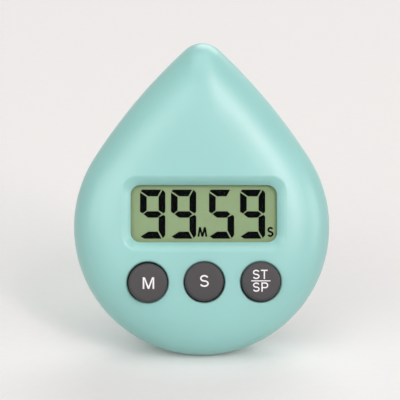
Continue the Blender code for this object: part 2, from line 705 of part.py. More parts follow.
def button_profile():
    """The button's turned section, from the middle of its crown to the end of its stem."""
    top = FRONT_DEPTH + BUTTON_PROUD
    flange_front = FRONT_DEPTH - WALL - SEAT_GAP
    flange_rear = flange_front - FLANGE_THICKNESS
    roof = top - BUTTON_ROOF
    rim = BUTTON_RADIUS - BUTTON_CHAMFER
    shoulder = top - BUTTON_CROWN
    return [
        (0.0, top),
        (rim * 0.6, top - BUTTON_CROWN * 0.4),
        (rim, shoulder),
        (BUTTON_RADIUS, shoulder - BUTTON_CHAMFER),
        (BUTTON_RADIUS, flange_front),
        (FLANGE_RADIUS, flange_front),
        (FLANGE_RADIUS, flange_rear),
        (SKIRT_INNER_RADIUS, flange_rear),
        (SKIRT_INNER_RADIUS, roof),
        (STEM_RADIUS, roof),
        (STEM_RADIUS, -STEM_END),
        (0.0, -STEM_END),
    ]


def build_buttons():
    """Three press buttons, the rubber mat with a dome under each, and the contact pills."""
    mat_rear = BOARD_FRONT - SEAT_GAP
    mat_front = mat_rear - MAT_THICKNESS
    dome_front = STEM_END + SEAT_GAP
    mat = box(
        "rubber_keypad",
        (-MAT_HALF_WIDTH, mat_front, MAT_BOTTOM),
        (MAT_HALF_WIDTH, mat_rear, MAT_TOP),
        "grey_silicone",
    )
    dome = [
        (0.0, -dome_front),
        (DOME_TOP_RADIUS, -dome_front),
        (DOME_TOP_RADIUS, -DOME_SHOULDER),
        (DOME_FOOT_RADIUS, -mat_front + SEAT_GAP),
        (DOME_FOOT_RADIUS, -mat_front - MAT_THICKNESS / 2),
        (0.0, -mat_front - MAT_THICKNESS / 2),
    ]
    hollow = [
        (0.0, -HOLLOW_TOP),
        (HOLLOW_TOP_RADIUS, -HOLLOW_TOP),
        (HOLLOW_FOOT_RADIUS, -mat_front),
        (HOLLOW_FOOT_RADIUS, -mat_rear - MAT_THICKNESS),
        (0.0, -mat_rear - MAT_THICKNESS),
    ]
    pill_front = HOLLOW_TOP + SEAT_GAP
    places = [(x, 0.0, BUTTON_HEIGHT) for x in (-BUTTON_PITCH, 0.0, BUTTON_PITCH)]
    for key, place in zip(BUTTONS, places):
        turned(f"{key}_button", button_profile(), place, FRONT, "grey_plastic", steps=28)
        join(mat, turned(f"{key}_dome", dome, place, FRONT, steps=20))
        centre = (place[0], BUTTON_HEIGHT)
        pill_rear = pill_front + PILL_THICKNESS
        cylinder(f"{key}_contact_pill", PILL_RADIUS, centre, pill_front, pill_rear, "carbon_rubber", steps=16)
    for key, place in zip(BUTTONS, places):
        cut(mat, turned(f"{key}_dome_hollow", hollow, place, FRONT, steps=20))


def bent_strip(name, points, across, finish):
    """A contact strip: (along, depth) points of its bent section, pushed through its width."""
    shape = bmesh.new()
    base = shape.faces.new([shape.verts.new(across(along, depth, -1)) for along, depth in points])
    grown = bmesh.ops.extrude_face_region(shape, geom=[base])["geom"]
    far = [item for item in grown if isinstance(item, bmesh.types.BMVert)]
    push = Vector(across(0.0, 0.0, 1)) - Vector(across(0.0, 0.0, -1))
    bmesh.ops.translate(shape, verts=far, vec=push)
    return mesh_object(name, shape, finish)


def build_battery():
    """The button cell, its two contacts and the cap that twists out of the back."""
    cell_rear = CELL_FRONT + CELL_LENGTH
    edge = 0.3 * MM
    neck = CELL_LENGTH - CELL_CAP_LENGTH
    cell = [
        (0.0, CELL_LENGTH),
        (CELL_CAP_RADIUS, CELL_LENGTH),
        (CELL_CAP_RADIUS, neck),
        (CELL_RADIUS - edge, neck),
        (CELL_RADIUS, neck - edge),
        (CELL_RADIUS, edge),
        (CELL_RADIUS - edge, 0.0),
        (0.0, 0.0),
    ]
    turned("button_cell", cell, (0.0, cell_rear, CELL_HEIGHT), FRONT, "nickel", steps=28)

    seat = BOARD_REAR + SEAT_GAP
    touch = CELL_FRONT - SEAT_GAP
    leaf_root = CELL_HEIGHT + 4.2 * MM
    leaf_bend = CELL_HEIGHT + 1.6 * MM
    leaf_end = CELL_HEIGHT - 1.6 * MM
    leaf = [
        (leaf_root, seat),
        (leaf_bend, seat),
        (leaf_end, touch - STRIP_THICKNESS),
        (leaf_end, touch),
        (leaf_bend, seat + STRIP_THICKNESS),
        (leaf_root, seat + STRIP_THICKNESS),
    ]
    bent_strip(
        "negative_contact",
        leaf,
        lambda along, depth, side: (side * STRIP_HALF_WIDTH, depth, along),
        "plated_steel",
    )
    side_face = CELL_RADIUS + SEAT_GAP
    arm_rear = WELL_FRONT + 3.2 * MM
    root_end = side_face + 3.0 * MM
    clip = [
        (side_face, seat),
        (root_end, seat),
        (root_end, seat + STRIP_THICKNESS),
        (side_face + STRIP_THICKNESS, seat + STRIP_THICKNESS),
        (side_face + STRIP_THICKNESS, arm_rear),
        (side_face, arm_rear),
    ]
    bent_strip(
        "positive_contact",
        clip,
        lambda along, depth, side: (along, depth, CELL_HEIGHT + side * STRIP_HALF_WIDTH),
        "plated_steel",
    )

    hub_front = cell_rear + SEAT_GAP
    head_front = LEDGE_REAR + SEAT_GAP
    bevel = 0.3 * MM
    cap_profile = [
        (0.0, REAR_DEPTH),
        (CAP_RADIUS - bevel, REAR_DEPTH),
        (CAP_RADIUS, REAR_DEPTH - bevel),
        (CAP_RADIUS, head_front),
        (CAP_HUB_RADIUS, head_front),
        (CAP_HUB_RADIUS, hub_front),
        (0.0, hub_front),
    ]
    cap = turned("battery_cap", cap_profile, (0.0, 0.0, CELL_HEIGHT), REAR, "mint_plastic", steps=36)
    lug_low = (-LUG_REACH, hub_front, CELL_HEIGHT - LUG_HALF_WIDTH)
    lug_high = (LUG_REACH, hub_front + LUG_THICKNESS, CELL_HEIGHT + LUG_HALF_WIDTH)
    join(cap, box("cap_lugs", lug_low, lug_high))
    length, width, depth = COIN_SLOT
    slot_low = (-length / 2, REAR_DEPTH - depth, CELL_HEIGHT - width / 2)
    cut(cap, box("coin_slot", slot_low, (length / 2, REAR_DEPTH + BEYOND, CELL_HEIGHT + width / 2)))


def wire(name, places, levels, finish):
    """A round wire from the sounder to the board, between two (x, z) places at their depth levels.

    It leaves the sounder towards the front and comes onto the board from the rear.
    """
    curve = bpy.data.curves.new(name, "CURVE")
    curve.dimensions = "3D"
    curve.bevel_depth = WIRE_RADIUS
    curve.bevel_resolution = 1
    curve.use_fill_caps = True
    (start_x, start_z), (end_x, end_z) = places
    start = Vector((start_x * MM, levels[0], start_z * MM))
    end = Vector((end_x * MM, levels[1], end_z * MM))
    lift = Vector((0.0, WIRE_LIFT, 0.0))
    points = interpolate_bezier(start, start - lift, end + lift, end, 10)
    spline = curve.splines.new("POLY")
    spline.points.add(len(points) - 1)
    for item, point in zip(spline.points, points):
        item.co = (*point, 1.0)
    return add_object(name, curve, finish)


def build_buzzer():
    """The piezo sounder on its seat, with a wire to the board from the plate and from the ceramic."""
    centre = (0.0, BUZZER_HEIGHT)
    plate_rear = BUZZER_SEAT - SEAT_GAP
    plate_front = plate_rear - BUZZER_PLATE_THICKNESS
    cylinder("buzzer_plate", BUZZER_RADIUS, centre, plate_front, plate_rear, "brass", steps=28)
    ceramic_rear = plate_front - SEAT_GAP
    ceramic_front = ceramic_rear - BUZZER_CERAMIC_THICKNESS
    cylinder("buzzer_ceramic", BUZZER_CERAMIC_RADIUS, centre, ceramic_front, ceramic_rear, "white_ceramic")
    board_level = BOARD_REAR + SEAT_GAP
    signal_levels = (ceramic_front - SEAT_GAP, board_level)
    ground_levels = (plate_front - SEAT_GAP, board_level)
    wire("buzzer_signal_wire", SIGNAL_WIRE, signal_levels, "red_insulation")
    wire("buzzer_ground_wire", GROUND_WIRE, ground_levels, "black_insulation")


def build_magnet():
    """The disc magnet, flush in the back, that holds the timer to a steel door."""
    front = REAR_DEPTH - MAGNET_THICKNESS
    cylinder("magnet", MAGNET_RADIUS, (0.0, MAGNET_HEIGHT), front, REAR_DEPTH, "nickel", steps=32)


def hinge_bar(name, radius, reach):
    """A bar along the stand's hinge axis, from side to side."""
    shape = bmesh.new()
    middle = Vector((0.0, HINGE_DEPTH, HINGE_HEIGHT))
    bmesh.ops.create_cone(
        shape,
        cap_ends=True,
        segments=16,
        radius1=radius,
        radius2=radius,
        depth=2 * reach,
        matrix=Matrix.Translation(middle) @ Matrix.Rotation(math.pi / 2, 4, "Y"),
    )
    return mesh_object(name, shape)


def build_stand(table):
    """The fold-out stand: a tongue of the back's own curve, on two pins, with its end flat on the table."""
    top = HINGE_HEIGHT + STAND_HEEL
    tongue = prism("stand_blank", stand_outline(0.0, top, -LOWER_RADIUS), STAND_FRONT, REAR_DEPTH + BEYOND)
    apply_boolean(tongue, [half_drop("stand_outside", REAR, start=-BEYOND)], "INTERSECT")
    cut(tongue, half_drop("stand_inside", REAR, STAND_THICKNESS, start=-2 * BEYOND))
    join(tongue, hinge_bar("hinge_pins", HINGE_PIN_RADIUS, HINGE_PIN_REACH))

    bpy.context.view_layer.update()
    graph = bpy.context.evaluated_depsgraph_get()
    data = bpy.data.meshes.new_from_object(tongue.evaluated_get(graph))
    data.name = "stand"
    data.materials.clear()
    place = (0.0, HINGE_DEPTH, HINGE_HEIGHT)
    data.transform(Matrix.Translation(-Vector(place)))
    hinge = new_empty("stand_hinge", BODY_FRAME, place, (stand_opening(), 0.0, 0.0))
    stand = add_object("stand", data, "mint_plastic", hinge)
    cut(stand, table)


def screw_profile(head_radius, head_height, radius, length):
    """A pan-head screw's turned section: head up, the seat at height zero, a pointed end."""
    crown = head_height * 0.35
    point = radius * 1.4
    return [
        (0.0, head_height),
        (head_radius * 0.6, head_height),
        (head_radius, head_height - crown),
        (head_radius, 0.0),
        (radius, 0.0),
        (radius, point - length),
        (0.0, -length),
    ]


def build_screws():
    """The three case screws, driven from the back, and the four that hold the board."""
    case_screw = screw_profile(SCREW_HEAD_RADIUS, SCREW_HEAD_HEIGHT, SCREW_RADIUS, SCREW_LENGTH)
    for key, (x, z) in CASE_SCREWS.items():
        place = (x * MM, SCREW_SEAT + SEAT_GAP, z * MM)
        turned(f"case_screw_{key}", case_screw, place, REAR, "plated_steel", steps=14)
    board_screw = screw_profile(
        BOARD_SCREW_HEAD_RADIUS, BOARD_SCREW_HEAD_HEIGHT, BOARD_SCREW_RADIUS, BOARD_SCREW_LENGTH
    )
    for index, (x, z) in enumerate(BOARD_SCREWS, start=1):
        place = (x * MM, BOARD_REAR + SEAT_GAP, z * MM)
        turned(f"board_screw_{index}", board_screw, place, REAR, "plated_steel", steps=10)


def build_table():
    """The table's body, up to its surface, which cuts the timer's foot and its stand flat."""
    table = box(
        "table",
        (-TABLE_SIZE, -TABLE_SIZE, -TABLE_SIZE),
        (TABLE_SIZE, TABLE_SIZE, 0.0),
    )
    table.parent = None
    return table


clear_scene()
PARTS = new_collection("drop_timer")
CUTTERS = new_collection("drop_timer_cutters")
BODY_FRAME = place_body_frame()
TABLE = build_table()
build_front_case()
build_rear_case(TABLE)
build_display()
build_board()
build_buttons()
build_battery()
build_buzzer()
build_magnet()
build_stand(TABLE)
build_screws()
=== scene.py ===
"""Looks of the drop-shaped kitchen timer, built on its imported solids.

Every piece is modelled upright in the body frame: +X to the right, +Y into the body, so that the
face looks along -Y, and +Z up. The body frame's origin is the centre of the drop's round lower
part, on the plane where the two half cases meet. BodyFrame leans each finished piece back to where
the timer stands on the table. Lengths are in metres, and a level is a depth along Y.
"""

import logging
import math
from collections.abc import Callable, Sequence
from dataclasses import dataclass, replace
from enum import Enum

import bmesh
import bpy
from mathutils import Matrix, Vector
from mathutils.kdtree import KDTree

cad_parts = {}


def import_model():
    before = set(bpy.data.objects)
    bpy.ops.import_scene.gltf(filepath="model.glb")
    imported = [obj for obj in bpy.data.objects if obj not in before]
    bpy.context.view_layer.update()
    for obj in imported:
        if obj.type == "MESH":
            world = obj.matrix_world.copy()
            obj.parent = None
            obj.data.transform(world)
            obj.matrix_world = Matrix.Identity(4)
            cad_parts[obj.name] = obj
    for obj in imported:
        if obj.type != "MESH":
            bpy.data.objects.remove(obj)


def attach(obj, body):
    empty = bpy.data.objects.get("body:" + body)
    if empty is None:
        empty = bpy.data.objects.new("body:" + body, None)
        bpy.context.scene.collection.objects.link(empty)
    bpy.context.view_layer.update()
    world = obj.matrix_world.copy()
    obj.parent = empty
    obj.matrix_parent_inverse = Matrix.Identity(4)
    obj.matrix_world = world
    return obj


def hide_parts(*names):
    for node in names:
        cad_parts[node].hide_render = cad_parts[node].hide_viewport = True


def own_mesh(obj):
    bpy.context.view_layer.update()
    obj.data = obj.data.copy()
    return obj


LOG = logging.getLogger("drop_timer")
MM = 0.001
DEGREE = math.radians(1.0)

Point = tuple[float, float]
Size = tuple[float, float, float]
Path = Sequence[Point]
Outline = list[Point]
Ring = list[Vector]
LevelRule = Callable[[float, float], float]
Colour = tuple[float, float, float]
Socket = bpy.types.NodeSocket


class Body(Enum):
    """The moving bodies that a piece can ride on."""

    CASE = "case"
    MINUTE_KEY = "minute_key"
    SECOND_KEY = "second_key"
    START_STOP_KEY = "start_stop_key"
    STAND = "fold_out_stand"
    CAP = "twist_cap"


class Facing(Enum):
    """The two half cases, by the sign of their depth."""

    FRONT = -1
    REAR = 1


def mm(*lengths: float) -> tuple[float, ...]:
    """Return millimetres as metres."""
    return tuple(length * MM for length in lengths)


def mm_path(*points: Point) -> tuple[Point, ...]:
    """Return points in millimetres as points in metres."""
    return tuple(mm(*point) for point in points)


def arc(
    centre: Point, radii: Point, first: float, last: float, steps: int, unit: float = 1.0
) -> Outline:
    """Return the points along an arc, both ends among them.

    Args:
        centre: (x, z) centre.
        radii: Radius across and radius up.
        first: Angle where it starts.
        last: Angle where it ends.
        steps: How many steps it gets.
        unit: What the angles are counted in, in radians.

    Returns:
        The points, in order.
    """
    points = []
    for step in range(steps + 1):
        angle = (first + (last - first) * step / steps) * unit
        points.append((centre[0] + radii[0] * math.cos(angle), centre[1] + radii[1] * math.sin(angle)))
    return points


def circle(centre: Point, radius: float, count: int) -> Outline:
    """Return points round a circle, anticlockwise from the right."""
    return arc(centre, (radius, radius), 0.0, 2 * math.pi, count)[:-1]


@dataclass(frozen=True)
class RoundedRectangle:
    """A rectangle with round corners, always with the same count of points."""

    width: float
    height: float
    corner: float
    centre: Point = (0.0, 0.0)
    corner_steps: int = 8
    long_steps: int = 22
    short_steps: int = 9

    def grown(self, growth: float) -> "RoundedRectangle":
        """Return the rectangle grown on all sides, with corners that stay round."""
        corner = max(self.corner + growth, 0.02 * MM)
        return replace(self, width=self.width + 2 * growth, height=self.height + 2 * growth, corner=corner)

    def outline(self) -> Outline:
        """Return the points, anticlockwise from the right-hand side.

        Returns:
            The points, in order.
        """
        points: Outline = []
        reach_x = self.width - 2 * self.corner
        reach_z = self.height - 2 * self.corner
        for quarter in range(4):
            across = 1 if quarter in (0, 3) else -1
            up = 1 if quarter in (0, 1) else -1
            middle_x = self.centre[0] + across * (self.width / 2 - self.corner)
            middle_z = self.centre[1] + up * (self.height / 2 - self.corner)
            for step in range(self.corner_steps + 1):
                angle = (quarter + step / self.corner_steps) * math.pi / 2
                x = middle_x + self.corner * math.cos(angle)
                points.append((x, middle_z + self.corner * math.sin(angle)))
            steps = self.long_steps if quarter in (0, 2) else self.short_steps
            turn = (quarter + 1) * math.pi / 2
            end_x, end_z = points[-1]
            for step in range(1, steps):
                share = step / steps
                along_x = -math.sin(turn) * reach_x * share
                points.append((end_x + along_x, end_z + math.cos(turn) * reach_z * share))
        return points


def ring_at(outline: Outline, level: float | LevelRule) -> Ring:
    """Put an outline at a depth, or at the depth that a rule gives each of its points.

    Args:
        outline: (x, z) points.
        level: Their depth, or a rule that gives it.

    Returns:
        The ring's points.
    """
    if callable(level):
        return [Vector((x, level(x, z), z)) for x, z in outline]
    return [Vector((x, level, z)) for x, z in outline]


def soften(path: Path, radius: float, steps: int = 3) -> Outline:
    """Round the corners of a path and keep its ends.

    Args:
        path: Path's points.
        radius: How far from each corner its rounding starts.
        steps: Steps round each corner.

    Returns:
        The points, in order.
    """
    longest = 0.48
    soft = [tuple(path[0])]
    for before, corner, after in zip(path, path[1:], path[2:]):
        middle = Vector(corner)
        to_start = Vector(before) - middle
        to_end = Vector(after) - middle
        reach = min(radius, to_start.length * longest, to_end.length * longest)
        start = middle + to_start.normalized() * reach
        end = middle + to_end.normalized() * reach
        for step in range(steps + 1):
            share = step / steps
            point = start * (1 - share) ** 2 + middle * 2 * share * (1 - share) + end * share**2
            soft.append((point.x, point.y))
    soft.append(tuple(path[-1]))
    return soft


def drum(radius: float, levels: Point) -> tuple[Point, ...]:
    """Return the (radius, level) section of a flat round piece."""
    front, rear = levels
    return ((0.0, front), (radius, front), (radius, rear), (0.0, rear))


def blend_rings(first: Ring, last: Ring, path: Path) -> list[Ring]:
    """Make the rings between two rings of equal count.

    Args:
        first: Ring at share 0.
        last: Ring at share 1.
        path: (share across, share in depth) of each new ring.

    Returns:
        The rings, in order.
    """
    rings = []
    for across, deep in path:
        ring = []
        for start, end in zip(first, last):
            x = start.x + (end.x - start.x) * across
            y = start.y + (end.y - start.y) * deep
            ring.append(Vector((x, y, start.z + (end.z - start.z) * across)))
        rings.append(ring)
    return rings


def quarter_round(face: Outline, side: Outline, rule: LevelRule, depth: float, steps: int = 4) -> list[Ring]:
    """Return the rings that round the edge between a face and a side, from next to the face.

    Args:
        face: Outline where the face ends.
        side: Outline of the side, of equal count.
        rule: Rule that gives the face's depth.
        depth: How far along Y the rounding goes.
        steps: How many rings there are.

    Returns:
        The rings, in order.
    """
    rings = []
    for step in range(1, steps + 1):
        angle = math.pi / 2 * step / steps
        across = math.sin(angle)
        sunk = depth * (1 - math.cos(angle))
        ring = []
        for (x, z), (side_x, side_z) in zip(face, side):
            ring.append(Vector((x + (side_x - x) * across, rule(x, z) + sunk, z + (side_z - z) * across)))
        rings.append(ring)
    return rings


@dataclass(frozen=True)
class BodyFrame:
    """How the timer leans on the table.

    Attributes:
        lean: Angle by which it leans back.
        back: How far the body frame's origin is behind the foot.
        rise: How high it is above the table.
    """

    lean: float = math.radians(17.0)
    back: float = 5.679 * MM
    rise: float = 29.857 * MM

    def matrix(self) -> Matrix:
        """Return the matrix from the body frame to the table's frame."""
        return Matrix.Translation((0.0, self.back, self.rise)) @ Matrix.Rotation(-self.lean, 4, "X")


STANDING = BodyFrame().matrix()


@dataclass(frozen=True)
class DropForm:
    """The drop's outline: a circle below, a small arc at the tip and a wide arc on each flank."""

    width: float = 62.0 * MM
    height: float = 75.6 * MM
    tip_radius: float = 5.9 * MM
    flank_radius: float = 135.0 * MM
    lower_steps: int = 52
    flank_steps: int = 30
    tip_steps: int = 12

    @property
    def lower_radius(self) -> float:
        """The radius of the round lower part."""
        return self.width / 2

    @property
    def tip_height(self) -> float:
        """The height of the tip arc's centre."""
        return self.height - self.lower_radius - self.tip_radius

    def flank(self) -> tuple[Point, float, float]:
        """Return the right flank's centre and the angles where it starts and ends.

        Returns:
            The centre and the two angles.
        """
        to_lower = self.flank_radius - self.lower_radius
        to_tip = self.flank_radius - self.tip_radius
        below = (to_tip**2 - to_lower**2 - self.tip_height**2) / (2 * self.tip_height)
        beside = math.sqrt(to_lower**2 - below**2)
        end = math.atan2(below + self.tip_height, beside)
        return (-beside, -below), math.atan2(below, beside), end

    def outline(self, inset: float = 0.0) -> Outline:
        """Return the outline pulled in by an inset, anticlockwise from its lowest point.

        Args:
            inset: How far inside it lies.

        Returns:
            The points, in order.
        """
        centre, start, end = self.flank()
        arcs = (
            ((0.0, 0.0), self.lower_radius, -math.pi / 2, start, self.lower_steps),
            (centre, self.flank_radius, start, end, self.flank_steps),
            ((0.0, self.tip_height), self.tip_radius, end, math.pi / 2, self.tip_steps),
        )
        right: Outline = []
        for middle, radius, first, last, steps in arcs:
            right += arc(middle, (radius - inset, radius - inset), first, last, steps)[:-1]
        right.append((0.0, self.tip_height + self.tip_radius - inset))
        return right + [(-x, z) for x, z in right[-2:0:-1]]

    def share(self, x: float, z: float, inset: float = 0.0) -> float:
        """Return how far a point is from the origin to the outline, as a share of the way.

        Args:
            x: Place across.
            z: Height.
            inset: How far inside it lies.

        Returns:
            The share, which is 1 on the outline.
        """
        reach = math.hypot(x, z)
        if reach == 0.0:
            return 0.0
        across = abs(x) / reach
        up = z / reach
        centre, start, end = self.flank()
        if math.atan2(up, across) <= start:
            return reach / (self.lower_radius - inset)
        edge = self._edge(across, up, centre, self.flank_radius - inset)
        if math.atan2(edge * up - centre[1], edge * across - centre[0]) > end:
            edge = self._edge(across, up, (0.0, self.tip_height), self.tip_radius - inset)
        return reach / edge

    @staticmethod
    def _edge(across: float, up: float, centre: Point, radius: float) -> float:
        """Return the distance along a direction to the far side of a circle.

        Args:
            across: Share of the direction that goes across.
            up: Share of it that goes up.
            centre: Centre of the circle.
            radius: Radius of the circle.

        Returns:
            The distance.
        """
        along = across * centre[0] + up * centre[1]
        inside = along**2 - centre[0] ** 2 - centre[1] ** 2 + radius**2
        return along + math.sqrt(max(0.0, inside))


@dataclass(frozen=True)
class Dome:
    """The domed side of a half case, crowned all over and rounding off towards the rim.

    Attributes:
        facing: Side that it bulges to.
        fullness: How square its shoulder is.
        rim: How far its rim stays from that plane.
    """

    drop: DropForm
    facing: Facing
    depth: float
    fullness: float
    rim: float = 0.15 * MM

    def level(self, x: float, z: float, inset: float = 0.0) -> float:
        """Return the depth of the surface, or of one inside it by an inset."""
        share = min(1.0, self.drop.share(x, z, inset))
        return self.facing.value * (self.depth - inset) * math.sqrt(1.0 - share**self.fullness)

    def zone(self, share: float, inset: float = 0.0) -> Outline:
        """Return the outline drawn in to a share."""
        return [(x * share, z * share) for x, z in self.drop.outline(inset)]

    def ring(self, angle: float, inset: float = 0.0) -> Ring:
        """Return the ring at an angle, from 0 at the crown to a right angle at the rim.

        Args:
            angle: The angle.
            inset: How far inside it lies.

        Returns:
            The ring's points.
        """
        share = math.sin(angle) ** (2 / self.fullness)
        deep = self.facing.value * max(self.rim, (self.depth - inset) * math.cos(angle))
        return ring_at(self.zone(share, inset), deep)

    def shoulder(self, share: float, level: float, count: int, inset: float = 0.0) -> list[Ring]:
        """Return the rings from a share of the outline, which is left out, to a depth near the rim.

        Args:
            share: Share of the outline where the rings start.
            level: Depth of the last ring, as a positive number.
            count: How many rings there are.
            inset: How far the surface is inside the dome.

        Returns:
            The rings, in order.
        """
        first = math.asin(share ** (self.fullness / 2))
        last = math.acos(level / (self.depth - inset))
        return [self.ring(first + (last - first) * step / count, inset) for step in range(1, count + 1)]


def clear_bench() -> None:
    """Leave edit mode and deselect everything."""
    if bpy.context.mode != "OBJECT":
        bpy.ops.object.mode_set(mode="OBJECT")
    bpy.ops.object.select_all(action="DESELECT")


class Workpiece:
    """One mesh on the bench, shaped in edit mode by operators.

    Attributes:
        item: Object that holds the mesh.
        held: Ring that is selected, in its own order.
    """

    near = 0.002 * MM
    smooth_up_to = math.radians(32.0)

    def __init__(self, name: str, ring: Ring | None = None) -> None:
        """Start a mesh as a circle bent into a ring, or take the active object if there is no ring.

        Args:
            name: The piece's name.
            ring: The first ring, or nothing to take the active object.
        """
        if ring:
            clear_bench()
            self._add_circle(len(ring))
        self.item = bpy.context.active_object
        self.item.name = name
        self.item.data.name = name
        self.held: Ring = []
        if ring:
            self._open("SELECT")
            self._bend(ring)

    @staticmethod
    def _add_circle(count: int) -> None:
        """Add a plain circle, to be bent."""
        bpy.ops.mesh.primitive_circle_add(vertices=count, radius=1.0, fill_type="NOTHING")

    def _pick(self, *others: "Workpiece") -> None:
        """Select the piece and others in object mode, and make the piece the active one.

        Args:
            others: The other pieces.
        """
        clear_bench()
        for piece in (*others, self):
            piece.item.select_set(True)
        bpy.context.view_layer.objects.active = self.item

    def _open(self, choice: str = "") -> bmesh.types.BMesh:
        """Put the piece on the bench in edit mode, SELECT or DESELECT all of it, and return its mesh.

        Args:
            choice: SELECT or DESELECT for all of it, or nothing to keep what is selected.

        Returns:
            Its mesh.
        """
        if bpy.context.view_layer.objects.active is not self.item or bpy.context.mode != "EDIT_MESH":
            self._pick()
            bpy.ops.object.mode_set(mode="EDIT")
            bpy.ops.mesh.select_mode(type="EDGE")
        if choice:
            bpy.ops.mesh.select_all(action=choice)
        return bmesh.from_edit_mesh(self.item.data)

    def _update(self) -> None:
        """Show the mesh's changes to the operators."""
        bmesh.update_edit_mesh(self.item.data)

    def _bend(self, ring: Ring) -> None:
        """Move a new circle's points, all selected, to a ring's.

        Args:
            ring: The ring's points.
        """
        mesh = self._open()
        chosen = [vertex for vertex in mesh.verts if vertex.select]
        for vertex, place in zip(chosen, ring):
            vertex.co = place
        self._update()
        self.held = ring

    @staticmethod
    def _tree(ring: Ring) -> KDTree:
        """Return a search tree over a ring's points.

        Args:
            ring: The ring's points.

        Returns:
            The tree.
        """
        tree = KDTree(len(ring))
        for index, place in enumerate(ring):
            tree.insert(place, index)
        tree.balance()
        return tree

    def add_ring(self, ring: Ring) -> None:
        """Lay one more loose ring into the mesh.

        Args:
            ring: The ring's points.
        """
        self._open("DESELECT")
        self._add_circle(len(ring))
        self._bend(ring)

    def fill(self, spacing: float, rule: LevelRule) -> None:
        """Fill the flat space between the loose rings with an even mesh and lift it.

        Args:
            spacing: About how long its edges are once it is lifted.
            rule: Rule that lifts it.
        """
        rounds = 10
        longest = 1.4 * spacing
        self._open("SELECT")
        bpy.ops.mesh.fill(use_beauty=True)
        for _ in range(rounds):
            mesh = self._open()
            levels = {vertex: rule(vertex.co.x, vertex.co.z) for vertex in mesh.verts}
            found = 0
            for edge in mesh.edges:
                rise = levels[edge.verts[0]] - levels[edge.verts[1]]
                long = not edge.is_boundary and math.hypot(edge.calc_length(), rise) > longest
                edge.select_set(long)
                found += long
            mesh.select_flush_mode()
            self._update()
            if not found:
                break
            bpy.ops.mesh.subdivide(number_cuts=1)
            bpy.ops.mesh.select_all(action="SELECT")
            bpy.ops.mesh.quads_convert_to_tris(quad_method="BEAUTY", ngon_method="BEAUTY")
            bpy.ops.mesh.beautify_fill(angle_limit=math.pi)
            self._smooth_inside()
        self.lift(rule)

    def _smooth_inside(self) -> None:
        """Spread the points that are on no edge of the sheet."""
        bpy.ops.mesh.select_mode(type="VERT")
        mesh = self._open()
        for vertex in mesh.verts:
            vertex.select_set(not vertex.is_boundary)
        mesh.select_flush_mode()
        self._update()
        bpy.ops.mesh.vertices_smooth(factor=0.5, repeat=3)
        bpy.ops.mesh.select_mode(type="EDGE")

    def lift(self, rule: LevelRule) -> None:
        """Add the depth that a rule gives to every point's.

        Args:
            rule: The rule that gives the depth.
        """
        mesh = self._open()
        for vertex in mesh.verts:
            vertex.co.y += rule(vertex.co.x, vertex.co.z)
        self._update()

    def _select_ring(self, ring: Ring) -> None:
        """Select the open edges that lie along a ring.

        Args:
            ring: The ring's points.
        """
        mesh = self._open("DESELECT")
        tree = self._tree(ring)
        for edge in mesh.edges:
            if edge.is_boundary or edge.is_wire:
                edge.select_set(all(tree.find(end.co)[2] < self.near for end in edge.verts))
        mesh.select_flush_mode()
        self._update()
        self.held = ring

    def extend(self, rings: Sequence[Ring], start: Ring | None = None) -> None:
        """Extrude the selected ring, or a start ring, through the rings that follow it.

        Args:
            rings: The rings, in order.
            start: The ring that they follow, or nothing for the selected one.
        """
        if start:
            self._select_ring(start)
        for ring in rings:
            self._open()
            bpy.ops.mesh.extrude_region_move()
            tree = self._tree(self.held)
            mesh = self._open()
            for vertex in mesh.verts:
                if vertex.select:
                    vertex.co = ring[tree.find(vertex.co)[1]]
            self._update()
            self.held = ring

    def close(self) -> None:
        """Close the selected ring with a face."""
        self._open()
        bpy.ops.mesh.edge_face_add()

    def cut_at_table(self) -> None:
        """Cut the closed piece flat where it reaches below the table, and close the cut."""
        self._merge()
        back = STANDING.inverted()
        bpy.ops.mesh.bisect(
            plane_co=back @ Vector((0.0, 0.0, 0.0)),
            plane_no=back.to_3x3() @ Vector((0.0, 0.0, 1.0)),
            use_fill=True,
            clear_inner=True,
            threshold=0.0001 * MM,
        )

    def _merge(self) -> None:
        """Merge the points that meet, turn the faces outwards and leave all selected."""
        self._open("SELECT")
        bpy.ops.mesh.remove_doubles(threshold=self.near)
        bpy.ops.mesh.normals_make_consistent(inside=False)

    def join(self, *others: "Workpiece") -> None:
        """Take other pieces into this one."""
        self._pick(*others)
        bpy.ops.object.join()

    def copy(self, name: str, start: Point, place: Point) -> "Workpiece":
        """Return a copy with its own mesh and a name, moved from one (x, z) place to another.

        Args:
            name: The piece's name.
            start: The (x, z) place of the piece.
            place: The place of the copy.

        Returns:
            The copy.
        """
        self._pick()
        bpy.ops.object.duplicate(linked=False)
        twin = Workpiece(name)
        twin._open("SELECT")
        bpy.ops.transform.translate(value=(place[0] - start[0], 0.0, place[1] - start[1]))
        return twin

    def turn(self, matrix: Matrix) -> None:
        """Move all of the mesh by a matrix."""
        self._open().transform(matrix)
        self._update()

    def refine(self, cuts: int) -> None:
        """Divide every edge, so that the piece can follow a curved surface, and keep its new points apart.

        Args:
            cuts: How many cuts each edge gets.
        """
        self._open("SELECT")
        bpy.ops.mesh.quads_convert_to_tris(quad_method="BEAUTY", ngon_method="BEAUTY")
        bpy.ops.mesh.subdivide(number_cuts=cuts)
        self.near /= cuts + 1

    def finish(self) -> bpy.types.Object:
        """Merge, stand the piece on the table with its place in its mesh, shade it and return it.

        Returns:
            The finished object.
        """
        self._merge()
        self._pick()
        self.item.matrix_world = STANDING
        bpy.ops.object.transform_apply(location=True, rotation=True, scale=True)
        bpy.ops.object.shade_smooth_by_angle(angle=self.smooth_up_to)
        normals = self.item.modifiers.new("even_normals", "WEIGHTED_NORMAL")
        normals.keep_sharp = True
        bpy.ops.object.modifier_apply(modifier=normals.name)
        return self.item


